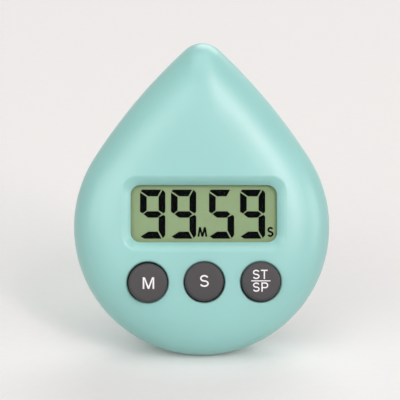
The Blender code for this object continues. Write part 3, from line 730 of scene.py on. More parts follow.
def turned(name: str, path: Path, centre: Point, count: int) -> Workpiece:
    """Turn a closed solid about a line along the depth axis.

    Args:
        name: Piece's name.
        path: (radius, level) points of its section, from one end of the axis to the other.
        centre: Axis's (x, z) place.
        count: Steps round the axis.

    Returns:
        The piece, not yet finished.
    """
    rings = [ring_at(circle(centre, radius, count), level) for radius, level in path]
    first = next(index for index, (radius, _) in enumerate(path) if radius > 0.0)
    piece = Workpiece(name, rings[first])
    piece.extend(rings[first + 1 :])
    if first > 0:
        piece.extend(rings[:first][::-1], rings[first])
    return piece


def skin(name: str, rings: Sequence[Ring]) -> Workpiece:
    """Make a closed piece through rings, with a flat face at each end.

    Args:
        name: The piece's name.
        rings: The rings, in order.

    Returns:
        The piece, not yet finished.
    """
    piece = Workpiece(name, rings[0])
    piece.close()
    piece.extend(rings[1:], rings[0])
    piece.close()
    return piece


def slab(name: str, outline: Outline, levels: Point) -> Workpiece:
    """Make a thin flat piece between two depths by extruding an outline."""
    return skin(name, [ring_at(outline, level) for level in levels])


def plate(name: str, form: RoundedRectangle, levels: Point, edge: float) -> Workpiece:
    """Make a flat plate with softened edges.

    Args:
        name: Piece's name.
        form: Outline.
        levels: Depth of its front face and of its rear face.
        edge: How far its edges are softened.

    Returns:
        The piece, not yet finished.
    """
    front, rear = levels
    path = soften([(-2 * edge, front), (0.0, front), (0.0, rear), (-2 * edge, rear)], edge)
    return skin(name, [ring_at(form.grown(growth).outline(), level) for growth, level in path])


def sheet(name: str, loops: Sequence[Outline], spacing: float, rule: LevelRule) -> Workpiece:
    """Fill the space between outlines with an even mesh and lift it.

    Args:
        name: Piece's name.
        loops: Outer outline, and then those of its openings.
        spacing: About how long its edges are once it is lifted.
        rule: Rule that lifts it.

    Returns:
        The piece, not yet finished.
    """
    first, *others = [ring_at(loop, 0.0) for loop in loops]
    piece = Workpiece(name, first)
    for ring in others:
        piece.add_ring(ring)
    piece.fill(spacing, rule)
    return piece


def joined(pieces: Sequence[Workpiece]) -> Workpiece:
    """Join pieces into the first of them.

    Args:
        pieces: The pieces.

    Returns:
        The piece, not yet finished.
    """
    first, *others = pieces
    first.join(*others)
    return first


def repeat(first: Workpiece, names: Sequence[str], places: Path) -> list[Workpiece]:
    """Return a piece and its copies, moved from the first of the places to the others."""
    copies = [first.copy(name, places[0], place) for name, place in zip(names[1:], places[1:])]
    return [first, *copies]


class NodeTree:
    """A node tree that grows node by node."""

    def __init__(self, tree: bpy.types.NodeTree) -> None:
        """Take a tree."""
        self.tree = tree

    def feed(self, target: Socket, value: Socket | float | tuple[float, ...]) -> None:
        """Link a socket to a target, or set the target to a plain value.

        Args:
            target: The socket that is fed.
            value: The socket that feeds it, or its value.
        """
        if isinstance(value, Socket):
            self.tree.links.new(value, target)
        else:
            target.default_value = value

    def feed_all(self, node: bpy.types.Node, **inputs: Socket | float | tuple[float, ...]) -> None:
        """Feed a node's inputs by name, with _ for each space."""
        for name, value in inputs.items():
            self.feed(node.inputs[name.replace("_", " ")], value)

    def add(self, kind: str, **inputs: Socket | float | tuple[float, ...]) -> bpy.types.Node:
        """Add a shader node of a kind and feed its inputs.

        Args:
            kind: The node's kind.
            inputs: Sockets or values for its inputs.

        Returns:
            The node.
        """
        node = self.tree.nodes.new("ShaderNode" + kind)
        self.feed_all(node, **inputs)
        return node

    def math(self, operation: str, first: Socket, second: Socket | float) -> Socket:
        """Return the result of an operation on two numbers.

        Args:
            operation: The operation's name.
            first: The first number.
            second: The second number.

        Returns:
            The socket that gives it.
        """
        node = self.add("Math")
        node.operation = operation
        self.feed(node.inputs[0], first)
        self.feed(node.inputs[1], second)
        return node.outputs["Value"]

    def seen(self) -> Socket:
        """Return 1 where a surface is seen by the camera, in a reflection or through glass.

        Returns:
            The socket that gives it.
        """
        path = self.add("LightPath").outputs
        glossy = self.math("MAXIMUM", path["Is Camera Ray"], path["Is Glossy Ray"])
        return self.math("MAXIMUM", glossy, path["Is Transmission Ray"])


class Shader(NodeTree):
    """A material's node tree round its Principled shader."""

    def __init__(self, name: str) -> None:
        """Start a material that reads the piece's own coordinates.

        Args:
            name: The piece's name.
        """
        self.material = bpy.data.materials.new(name)
        self.material.use_nodes = True
        super().__init__(self.material.node_tree)
        self._surface = self.tree.nodes["Principled BSDF"]
        self._place = self.add("TexCoord").outputs["Object"]

    def set(self, **inputs: Socket | float | tuple[float, ...]) -> None:
        """Feed inputs of the Principled shader by name, with _ for each space."""
        self.feed_all(self._surface, **inputs)

    def stretched(self, scale: Size) -> Socket:
        """Return the coordinates scaled per axis, for a pattern with a direction."""
        return self.add("Mapping", Scale=scale, Vector=self._place).outputs["Vector"]

    def noise(self, scale: float, detail: float = 2.0, place: Socket | None = None) -> Socket:
        """Return a noise from 0 to 1, of a scale in turns for each metre."""
        node = self.add("TexNoise", Scale=scale, Detail=detail, Vector=place or self._place)
        return node.outputs["Fac"]

    def cells(self, scale: float, distance: str = "EUCLIDEAN") -> Socket:
        """Return the distance, of some kind, to the nearest middle of cells of a scale.

        Args:
            scale: Their scale, for each metre.
            distance: The kind of distance.

        Returns:
            The socket that gives it.
        """
        node = self.add("TexVoronoi", Scale=scale, Vector=self._place)
        node.distance = distance
        return node.outputs["Distance"]

    def bands(self, scale: float, direction: str = "X", bent: float = 0.0) -> Socket:
        """Return stripes of a scale across an axis, bent by some amount.

        Args:
            scale: Their scale, for each metre.
            direction: The axis that they cross.
            bent: How much they are bent.

        Returns:
            The socket that gives it.
        """
        node = self.add("TexWave", Scale=scale, Distortion=bent, Vector=self._place)
        node.bands_direction = direction
        return node.outputs["Fac"]

    def ramp(self, factor: Socket, *stops: tuple[float, Colour]) -> Socket:
        """Return a factor's colour on a ramp of (factor, colour) stops in rising order.

        Args:
            factor: The factor.
            stops: The stops.

        Returns:
            The socket that gives it.
        """
        node = self.add("ValToRGB", Fac=factor)
        elements = node.color_ramp.elements
        while len(elements) < len(stops):
            elements.new(1.0)
        for element, (position, colour) in zip(elements, stops):
            element.position = position
            element.color = (*colour, 1.0)
        return node.outputs["Color"]

    def spread(self, factor: Socket, low: float, high: float) -> Socket:
        """Return a number between two, by the middle half of a factor."""
        node = self.add("MapRange", Value=factor, From_Min=0.25, From_Max=0.75, To_Min=low, To_Max=high)
        return node.outputs["Result"]

    def for_camera(self, shown: Socket, other: Colour) -> Socket:
        """Return a colour where the surface is seen, and another where it only throws light back.

        Args:
            shown: The colour that is seen.
            other: The colour that is thrown back.

        Returns:
            The socket that gives it.
        """
        mixed = self.add("Mix", Factor=self.seen())
        mixed.data_type = "RGBA"
        self.feed(mixed.inputs[6], (*other, 1.0))
        self.feed(mixed.inputs[7], shown)
        return mixed.outputs[2]

    def bump(self, height: Socket, strength: float, distance: float) -> None:
        """Raise the surface by a strength of a height from 0 to 1, over a distance in metres."""
        node = self.add("Bump", Strength=strength, Distance=distance, Height=height)
        self.set(Normal=node.outputs["Normal"])


@dataclass(frozen=True)
class Finish:
    """A finish that a piece is dressed in.

    Attributes:
        name: Finish's name, as the record's slots name it.
    """

    name: str
    colour: Colour
    rough: float

    def material(self) -> bpy.types.Material:
        """Return the finish's material, made once.

        Returns:
            The material.
        """
        made = bpy.data.materials.get("dressed_" + self.name)
        if made is None:
            shader = Shader("dressed_" + self.name)
            shader.set(Base_Color=(*self.colour, 1.0), Roughness=self.rough)
            self.work(shader)
            made = shader.material
            made.diffuse_color = (*self.colour, 1.0)
        return made

    def work(self, shader: Shader) -> None:
        """Add what is particular to the finish."""

    def shade(self, factor: float) -> Colour:
        """Return the finish's colour made lighter or darker by a factor."""
        return tuple(min(1.0, part * factor) for part in self.colour)

    def tint(
        self, shader: Shader, factor: Socket, low: float, high: float, ends: Point = (0.3, 0.7)
    ) -> Socket:
        """Return the colour between two shades, which a factor picks between its two ends."""
        return shader.ramp(factor, (ends[0], self.shade(low)), (ends[1], self.shade(high)))

    def gloss(self, shader: Shader, factor: Socket, less: float, more: float) -> Socket:
        """Return the roughness varied by a factor, from less to more than its mean."""
        return shader.spread(factor, self.rough + less, self.rough + more)


@dataclass(frozen=True)
class MouldedPlastic(Finish):
    """Injection-moulded plastic: clouded colour, a fine spark-eroded grain and handled patches.

    Attributes:
        cloud: How much the colour varies.
        grain: Height of the grain.
        pitch: Grain's scale.
    """

    cloud: float = 0.025
    grain: float = 0.012 * MM
    pitch: float = 2600.0
    specular: float = 0.5

    def work(self, shader: Shader) -> None:
        """Cloud the colour, vary the gloss and raise the grain.

        Args:
            shader: The material's shader.
        """
        clouds = shader.noise(55.0, 3.0)
        handled = shader.noise(140.0, 4.0)
        shader.set(
            Base_Color=self.tint(shader, clouds, 1.0 - self.cloud, 1.0 + self.cloud),
            Roughness=self.gloss(shader, handled, -0.03, 0.03),
            Specular_IOR_Level=self.specular,
        )
        shader.bump(shader.noise(self.pitch), 0.25, self.grain)


@dataclass(frozen=True)
class DisplayFilm(Finish):
    """The reflective display's film: olive green, with the sparkle of its brushed reflector."""

    def work(self, shader: Shader) -> None:
        """Speckle the colour finely and shade it slowly.

        Args:
            shader: The material's shader.
        """
        shader.set(
            Base_Color=self.tint(shader, shader.noise(5200.0), 0.955, 1.045),
            Roughness=self.gloss(shader, shader.noise(300.0, 3.0), -0.04, 0.04),
        )
        shader.bump(shader.noise(3800.0, 1.0), 0.1, 0.004 * MM)


@dataclass(frozen=True)
class PrintedInk(Finish):
    """A printed or switched-on mark: even, with a faint mottle."""

    specular: float = 0.4

    def work(self, shader: Shader) -> None:
        """Mottle the ink.

        Args:
            shader: The material's shader.
        """
        mottle = shader.noise(1800.0, 3.0)
        shader.set(
            Base_Color=self.tint(shader, mottle, 0.93, 1.05),
            Roughness=self.gloss(shader, mottle, -0.05, 0.05),
            Specular_IOR_Level=self.specular,
        )


@dataclass(frozen=True)
class ClearSheet(Finish):
    """Clear plastic or glass that lets most of the light through.

    Attributes:
        cover: Share of light that it holds back.
    """

    cover: float = 0.03

    def work(self, shader: Shader) -> None:
        """Let the light through and add faint rubbed patches.

        Args:
            shader: The material's shader.
        """
        rubbed = shader.noise(260.0, 5.0)
        shader.set(
            Base_Color=self.tint(shader, rubbed, 0.97, 1.0),
            Roughness=self.gloss(shader, rubbed, 0.0, 0.05),
            Alpha=self.cover,
            Specular_IOR_Level=0.3,
        )


@dataclass(frozen=True)
class WorkedMetal(Finish):
    """Plated or rolled metal, with fine lines in the direction of its working.

    Attributes:
        lines: Scale of the lines along each axis.
    """

    lines: Size = (0.05, 1.0, 1.0)
    scratch: float = 0.004 * MM

    def work(self, shader: Shader) -> None:
        """Draw the lines into colour, gloss and surface.

        Args:
            shader: The material's shader.
        """
        drawn = shader.noise(4200.0, 3.0, shader.stretched(self.lines))
        shader.set(
            Base_Color=self.tint(shader, shader.noise(330.0, 4.0), 0.86, 1.06),
            Roughness=self.gloss(shader, drawn, -0.07, 0.09),
            Metallic=1.0,
        )
        shader.bump(drawn, 0.3, self.scratch)


@dataclass(frozen=True)
class CellFoam(Finish):
    """Foam tape with open pores, with painted shade darkening the pores in its colour."""

    def work(self, shader: Shader) -> None:
        """Darken the pores with painted shade in the colour, and sink them into the surface.

        Args:
            shader: The material's shader.
        """
        pores_and_painted_shade = shader.cells(3200.0)
        # The pores' darker colour is painted shade; the bump below sinks them for real.
        shader.set(Base_Color=self.tint(shader, pores_and_painted_shade, 0.62, 1.0, (0.05, 0.35)), Specular_IOR_Level=0.15)
        shader.bump(pores_and_painted_shade, 0.8, 0.08 * MM)


@dataclass(frozen=True)
class LayeredRubber(Finish):
    """The connector strip's rubber: thin conducting layers between clear ones.

    Attributes:
        between: Colour of the layers that don't conduct.
    """

    between: Colour = (0.46, 0.45, 0.42)
    pitch: float = 1400.0

    def work(self, shader: Shader) -> None:
        """Lay the stripes across the strip.

        Args:
            shader: The material's shader.
        """
        layers = shader.bands(self.pitch)
        shader.set(Base_Color=shader.ramp(layers, (0.45, self.colour), (0.55, self.between)))
        shader.bump(layers, 0.3, 0.01 * MM)


@dataclass(frozen=True)
class PrintedBoard(Finish):
    """Glass-fibre laminate with copper tracks below its mask and gilt pads."""

    pad: Colour = (0.70, 0.52, 0.20)
    spacing: float = 240.0

    def work(self, shader: Shader) -> None:
        """Etch pads and tracks, and let the weave show.

        Args:
            shader: The material's shader.
        """
        track = self.shade(1.7)
        pads = ((0.0, self.pad), (0.10, self.pad), (0.12, self.colour))
        tracks = ((0.30, self.colour), (0.31, track), (0.36, track), (0.37, self.colour))
        shader.set(
            Base_Color=shader.ramp(shader.cells(self.spacing, "CHEBYCHEV"), *pads, *tracks),
            Roughness=self.gloss(shader, shader.noise(900.0, 3.0), -0.05, 0.08),
        )
        shader.bump(shader.bands(900.0, "Z", 0.4), 0.15, 0.01 * MM)


@dataclass(frozen=True)
class PaleFloor(Finish):
    """The studio's pale paper, almost even.

    Attributes:
        lift: How much it glows for the camera.
        bounce: Share of its colour that it throws back at the timer.
    """

    lift: float = 0.07
    bounce: float = 0.75

    def work(self, shader: Shader) -> None:
        """Give the paper a soft tooth.

        Args:
            shader: The material's shader.
        """
        paper = self.tint(shader, shader.noise(380.0, 3.0), 0.992, 1.008)
        shader.set(
            Base_Color=shader.for_camera(paper, self.shade(self.bounce)),
            Specular_IOR_Level=0.1,
            Emission_Color=(*self.colour, 1.0),
            Emission_Strength=shader.math("MULTIPLY", shader.seen(), self.lift),
        )


MINT = MouldedPlastic("mint_plastic", (0.310, 0.652, 0.606), 0.34, specular=0.9)
GREY = MouldedPlastic("grey_plastic", (0.056, 0.054, 0.057), 0.5, cloud=0.06, grain=0.02 * MM, specular=0.4)
LEGEND = PrintedInk("white_legend", (0.93, 0.94, 0.94), 0.5)
FILM = DisplayFilm("display_glass", (0.286, 0.418, 0.206), 0.5)
INK = PrintedInk("display_ink", (0.002, 0.003, 0.003), 0.7, 0.0)
ACRYLIC = ClearSheet("clear_acrylic", (0.03, 0.032, 0.03), 0.05)
STEEL = WorkedMetal("plated_steel", (0.62, 0.62, 0.60), 0.30)
NICKEL = WorkedMetal("nickel", (0.58, 0.57, 0.55), 0.24)
SILICONE = MouldedPlastic("grey_silicone", (0.55, 0.56, 0.57), 0.72, cloud=0.03, pitch=1800.0, specular=0.3)
CARBON = MouldedPlastic("carbon_rubber", (0.03, 0.03, 0.03), 0.8, cloud=0.12, grain=0.03 * MM, specular=0.2)
EPOXY = MouldedPlastic("black_epoxy", (0.02, 0.02, 0.02), 0.2, cloud=0.1, grain=0.03 * MM, pitch=420.0)
CERAMIC = MouldedPlastic("white_ceramic", (0.78, 0.78, 0.74), 0.42, cloud=0.05, pitch=3400.0)
RED_WIRE = MouldedPlastic("red_insulation", (0.55, 0.04, 0.03), 0.42, cloud=0.06)
BLACK_WIRE = MouldedPlastic("black_insulation", (0.03, 0.03, 0.03), 0.42, cloud=0.12)
BRASS = WorkedMetal("brass", (0.72, 0.53, 0.22), 0.32)
FOAM = CellFoam("white_foam", (0.80, 0.80, 0.76), 0.9)
CONNECTOR = LayeredRubber("conductive_rubber", (0.12, 0.12, 0.13), 0.7)
LAMINATE = PrintedBoard("green_laminate", (0.03, 0.22, 0.09), 0.42)
FLOOR = PaleFloor("pale_paper", (0.915, 0.915, 0.895), 0.85)


def dress(
    piece: Workpiece, finish: Finish, body: Body, *nodes: str, slot: str | None = None
) -> bpy.types.Object:
    """Finish a piece and give it its material, its body and the solids that it stands for.

    Args:
        piece: Piece.
        finish: Finish.
        body: Body that it rides on.
        nodes: Solids that it stands for.
        slot: Not used.

    Returns:
        The finished object.
    """
    item = piece.finish()
    item.data.materials.clear()
    item.data.materials.append(finish.material())
    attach(item, body.value)
    if nodes:
        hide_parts(*nodes)
    slot or finish.name
    LOG.info("%s: %d faces, rides on %s", item.name, len(item.data.polygons), body.value)
    return item


def coat(node: str, finish: Finish) -> None:
    """Give a solid that keeps its shape a finish.

    Args:
        node: The solid's name.
        finish: Its finish.
    """
    item = bpy.data.objects[node]
    for slot in item.material_slots:
        slot.material = finish.material()
    LOG.info("%s: kept, finished in %s", node, finish.name)


@dataclass(frozen=True)
class Layout:
    """Sizes and places that more than one sub-assembly shares, in the body frame.

    Attributes:
        window: Width, height and corner of the display's window.
        key_pitch: From one button to the next.
    """

    drop: DropForm = DropForm()
    wall: float = 1.8 * MM
    seat_gap: float = 0.25 * MM
    front_depth: float = 9.6 * MM
    rear_depth: float = 9.9 * MM
    display_height: float = 3.25 * MM
    window: Size = mm(36.6, 15.3, 1.5)
    key_pitch: float = 13.5 * MM
    key_height: float = -13.05 * MM
    key_radius: float = 4.62 * MM
    key_travel: float = 0.9 * MM
    flange_radius: float = 5.7 * MM
    case_screws: Path = mm_path((0.0, 35.5), (-22.3, -12.0), (22.3, -12.0))
    board_screws: Path = mm_path((-16.9, 15.2), (16.9, 15.2), (-6.75, -20.5), (6.75, -20.5))
    cell_height: float = 8.0 * MM
    magnet_height: float = 24.5 * MM
    buzzer_height: float = -13.2 * MM

    def keys(self) -> tuple[Point, ...]:
        """Return the places of the three buttons."""
        return tuple((x, self.key_height) for x in (-self.key_pitch, 0.0, self.key_pitch))

    def display(self, size: Size, growth: float = 0.0) -> RoundedRectangle:
        """Return an outline round the display's middle, grown on all sides but not at its corners.

        Args:
            size: Width, height and corner.
            growth: How far it is grown.

        Returns:
            The form.
        """
        width, height, corner = size
        middle = (0.0, self.display_height)
        return RoundedRectangle(width + 2 * growth, height + 2 * growth, corner, middle)


@dataclass(frozen=True)
class Assembly:
    """A sub-assembly of the timer.

    Attributes:
        layout: Sizes that it shares with the others.
    """

    layout: Layout

    def build(self) -> None:
        """Model the sub-assembly's pieces and dress them."""


@dataclass(frozen=True)
class Shell(Assembly):
    """What the two half cases share: a dome with openings, a wall inside it and a rim.

    Attributes:
        facing: Side that it bulges to.
        fullness: How square its shoulder is.
        zone: Share of the outline inside which the dome is filled between its openings.
        inner_zone: Same share for the inner wall.
    """

    facing: Facing
    fullness: float
    zone: float
    inner_zone: float
    spacing: float
    rim_soft: float = 0.15 * MM

    def dome(self) -> Dome:
        """Return the domed surface."""
        depths = {Facing.FRONT: self.layout.front_depth, Facing.REAR: self.layout.rear_depth}
        return Dome(self.layout.drop, self.facing, depths[self.facing], self.fullness)

    def _inner_level(self, x: float, z: float) -> float:
        """Return the depth of the inner wall."""
        return self.dome().level(x, z, self.layout.wall)

    def _dome_skin(self, name: str, loops: Sequence[Outline], steps: int) -> Workpiece:
        """Fill the dome between its openings and round it off to the rim in some steps.

        Args:
            name: The piece's name.
            loops: The openings' outlines.
            steps: Steps from the fill to the rim.

        Returns:
            The piece, not yet finished.
        """
        dome = self.dome()
        zone = dome.zone(self.zone)
        piece = sheet(name, [zone, *loops], self.spacing, dome.level)
        piece.extend(dome.shoulder(self.zone, dome.rim, steps), ring_at(zone, dome.level))
        return piece

    def _inner_skin(
        self, name: str, loops: Sequence[Outline], spacing: float, end: float, steps: int
    ) -> Workpiece:
        """Fill the inner wall between its openings and round it off towards the rim.

        Args:
            name: Piece's name.
            loops: Openings' outlines.
            spacing: Length of the fill's edges.
            end: Depth where the wall ends, as a positive number.
            steps: Steps from the fill to that depth.

        Returns:
            The piece, not yet finished.
        """
        zone = self.dome().zone(self.inner_zone, self.layout.wall)
        piece = sheet(name, [zone, *loops], spacing, self._inner_level)
        rings = self.dome().shoulder(self.inner_zone, end, steps, self.layout.wall)
        piece.extend(rings, ring_at(zone, self._inner_level))
        return piece

    def _rim(self, path: Path, end: float) -> list[Ring]:
        """Return the rings along (inset, level) points round the rim, to where the inner wall ends."""
        rings = [ring_at(self.layout.drop.outline(inset), level) for inset, level in path]
        return rings + self.dome().shoulder(self.inner_zone, end, 1, self.layout.wall)


@dataclass(frozen=True)
class FrontShell(Shell):
    """The front half case: crowned face, display recess, button holes, lap rim and bosses.

    Attributes:
        opening: Width, height and corner of the display's opening.
        recess: Width, height and corner of the recess where it leaves the face.
        recess_level: Depth where its slope ends.
        recess_curve: Power by which the slope steepens inwards.
        recess_start: How steep it starts, as a share of its mean.
        recess_brink: Width of the narrow strip of face round it.
        opening_level: Depth where the opening ends and the window's seat starts.
        pad: Width, height and corner of the thicker wall behind the display.
        lap_level: How far from the plane between the half cases the lap joint's inner step is.
        case_boss: Radius, hole radius, end and hole's end of a boss for a case screw.
        board_post: Same of a post for a board screw.
        boss_root: How far each of them goes into the wall.
    """

    facing: Facing = Facing.FRONT
    fullness: float = 6.5
    zone: float = 0.84
    inner_zone: float = 0.88
    spacing: float = 1.2 * MM
    opening: Size = mm(35.05, 13.65, 2.3)
    recess: Size = mm(39.15, 17.95, 3.6)
    recess_level: float = -7.9 * MM
    recess_curve: float = 1.9
    recess_start: float = 0.4
    recess_steps: int = 12
    recess_brink: float = 0.22 * MM
    recess_lip: float = 0.08 * MM
    opening_level: float = -7.6 * MM
    pad: Size = mm(41.2, 19.4, 1.0)
    pad_level: float = -6.5 * MM
    hole_edge: float = 0.45 * MM
    hole_count: int = 48
    lap_level: float = 1.6 * MM
    lap_inset: float = 1.0 * MM
    case_boss: tuple[float, ...] = mm(2.4, 1.2, -0.3, -4.85)
    board_post: tuple[float, ...] = mm(1.6, 0.8, -1.85, -5.05)
    boss_root: float = 0.6 * MM
    boss_soft: float = 0.15 * MM

    def build(self) -> None:
        """Model the shell and dress it."""
        shell = self._outside()
        shell.join(self._inside(), *self._bosses())
        dress(shell, MINT, Body.CASE, "front_case")

    def _outside(self) -> Workpiece:
        """Return the face with its rim, the display's recess and the button holes.

        Returns:
            The piece, not yet finished.
        """
        layout = self.layout
        dome = self.dome()
        recess = layout.display(self.recess, self.recess_brink).outline()
        mouth = layout.key_radius + layout.seat_gap + self.hole_edge
        mouths = [circle(place, mouth, self.hole_count) for place in layout.keys()]
        shell = self._dome_skin("front_shell", [recess, *mouths], 20)
        lap = [
            (0.0, -4 * dome.rim),
            (0.0, -dome.rim),
            (self.lap_inset, -dome.rim),
            (self.lap_inset, -self.lap_level),
            (layout.wall, -self.lap_level),
        ]
        shell.extend(self._rim(soften(lap, self.rim_soft)[2:-1], self.lap_level))
        shell.extend(self._recess(), ring_at(recess, dome.level))
        for place, loop in zip(layout.keys(), mouths):
            shell.extend(self._hole(place, loop), ring_at(loop, dome.level))
        return shell

    def _recess(self) -> list[Ring]:
        """Return the rings of the display's recess, its opening and the seat of the window.

        Returns:
            The rings, in order.
        """
        layout = self.layout
        brink = ring_at(layout.display(self.recess).outline(), self.dome().level)
        opening = layout.display(self.opening).outline()
        seat = layout.display(layout.window, layout.seat_gap).outline()
        pad = layout.display(self.pad).outline()
        slope = []
        for step in range(1, self.recess_steps + 1):
            share = step / self.recess_steps
            steady = self.recess_start * share
            slope.append((share, steady + (1.0 - self.recess_start) * share**self.recess_curve))
        return [
            brink,
            *blend_rings(brink, ring_at(opening, self.recess_level), slope),
            ring_at(opening, self.recess_level + self.recess_lip),
            ring_at(opening, self.opening_level),
            ring_at(seat, self.opening_level),
            ring_at(seat, self.pad_level),
            ring_at(pad, self.pad_level),
            ring_at(pad, self._inner_level),
        ]

    def _room(self, place: Point) -> Outline:
        """Return the outline of the room for a button's flange."""
        return circle(place, self.layout.flange_radius + self.layout.seat_gap, self.hole_count)

    def _hole(self, place: Point, mouth: Outline) -> list[Ring]:
        """Return the rings of a button hole from its mouth: rounded edge, wall and room for the flange.

        Args:
            place: Its (x, z) place.
            mouth: Its edge on the face.

        Returns:
            The rings, in order.
        """
        layout = self.layout
        wall = circle(place, layout.key_radius + layout.seat_gap, self.hole_count)
        room = self._room(place)
        seat = layout.wall - layout.front_depth
        edge = quarter_round(mouth, wall, self.dome().level, self.hole_edge, 5)
        return [*edge, ring_at(wall, seat), ring_at(room, seat), ring_at(room, self._inner_level)]

    def _inside(self) -> Workpiece:
        """Return the inner wall, with the same openings.

        Returns:
            The piece, not yet finished.
        """
        loops = [self.layout.display(self.pad).outline()]
        loops += [self._room(place) for place in self.layout.keys()]
        return self._inner_skin("front_inside", loops, 2 * self.spacing, self.lap_level, 8)

    def _bosses(self) -> list[Workpiece]:
        """Return the screw bosses and the board's posts, each with its pilot hole.

        Returns:
            The pieces, not yet finished.
        """
        kinds = (
            ("front_boss", self.layout.case_screws, self.case_boss),
            ("board_post", self.layout.board_screws, self.board_post),
        )
        made = []
        for name, places, (outer, inner, end, bottom) in kinds:
            for index, place in enumerate(places):
                root = self._inner_level(*place) - self.boss_root
                post = [(0.0, root), (outer, root), (outer, end)]
                path = [*post, (inner, end), (inner, bottom), (0.0, bottom)]
                made.append(turned(f"{name}_{index}", soften(path, self.boss_soft), place, 24))
        return made


def widen(spine: Outline, stroke: float) -> Outline:
    """Return the outline of a stroke of some width along a smooth or square line.

    Args:
        spine: The stroke's centre line.
        stroke: The stroke's width.

    Returns:
        The points, in order.
    """
    right: Outline = []
    left: Outline = []
    for index, (x, z) in enumerate(spine):
        before = Vector(spine[max(0, index - 1)])
        after = Vector(spine[min(len(spine) - 1, index + 1)])
        into = (Vector((x, z)) - before).normalized()
        out = (after - Vector((x, z))).normalized()
        along = (into + out).normalized()
        reach = stroke / 2 / max(along.dot(into), along.dot(out))
        right.append((x + along.y * reach, z - along.x * reach))
        left.append((x - along.y * reach, z + along.x * reach))
    return right + left[::-1]


class Letter(Enum):
    """The plain letters of the legends."""

    M = "M"
    LEANING_M = "M with leaning legs"
    P = "P"
    S = "S"
    T = "T"

    def outlines(self, width: float, height: float, stroke: float) -> list[Outline]:
        """Return the outlines that make up the letter, about the origin.

        Args:
            width: Letter's width.
            height: Height.
            stroke: Width of its strokes.

        Returns:
            The outlines.
        """
        side = width / 2
        top = height / 2
        inner = side - stroke / 2
        rise = top - stroke / 2
        if self is Letter.T:
            return [widen([(-side, rise), (side, rise)], stroke), widen([(0.0, rise), (0.0, -top)], stroke)]
        if self is Letter.P:
            middle = -0.06 * height
            radii = (0.72 * inner, (rise - middle) / 2)
            bowl = arc((0.28 * inner, (rise + middle) / 2), radii, 90.0, -90.0, 16, DEGREE)
            return [widen([(-inner, -top), (-inner, rise), *bowl, (-inner, middle)], stroke)]
        if self is Letter.S:
            upper = arc((0.0, rise / 2), (0.93 * inner, rise / 2), 18.0, 262.0, 22, DEGREE)
            lower = arc((0.0, -rise / 2), (inner, rise / 2), 82.0, -162.0, 22, DEGREE)
            return [widen(upper + lower, stroke)]
        return [self._double_peak(side, top, stroke)]

    def _double_peak(self, side: float, top: float, stroke: float) -> Outline:
        """Return the outline of an M, by half of its width, half of its height and its stroke.

        Args:
            side: Half of its width.
            top: Half of its height.
            stroke: The stroke's width.

        Returns:
            The points, in order.
        """
        half = stroke / 2
        if self is Letter.M:
            peak = (-side, 1.35 * stroke - side)
            notch = (stroke - side, top - 1.45 * stroke * top / side)
            valley = 1.5 * stroke - top
        else:
            middle = 0.5 * side
            crotch = (side - 1.5 * stroke) / (side - half)
            peak = (-middle - half, half - middle)
            notch = (stroke - side + crotch * (side - half - middle), (2 * crotch - 1) * top)
            valley = (stroke / middle - 1) * top
        left = [(peak[0], top), (-side, -top), (stroke - side, -top), notch, (-half, -top)]
        right = [(-x, z) for x, z in left[::-1]]
        return left + right + [(-peak[1], top), (0.0, valley), (peak[1], top)]


@dataclass(frozen=True)
class Mark:
    """A word of one or two letters, in strokes of one width.

    Attributes:
        size: Width and the height that the word fills.
        gap: Space between two letters.
    """

    letters: tuple[Letter, ...]
    size: Point
    centre: Point
    stroke: float
    gap: float = 0.0

    def cut(self, name: str, levels: Point, place: Point = (0.0, 0.0)) -> list[Workpiece]:
        """Make the letters as thin pieces.

        Args:
            name: Pieces' name.
            levels: Depth of their front and of their rear.
            place: What the centre is measured from.

        Returns:
            The pieces, not yet finished.
        """
        count = len(self.letters)
        width = (self.size[0] - self.gap * (count - 1)) / count
        height = place[1] + self.centre[1]
        pieces = []
        for index, letter in enumerate(self.letters):
            middle = place[0] + self.centre[0] + (index - (count - 1) / 2) * (width + self.gap)
            for outline in letter.outlines(width, self.size[1], self.stroke):
                pieces.append(slab(name, [(middle + x, height + z) for x, z in outline], levels))
        return pieces


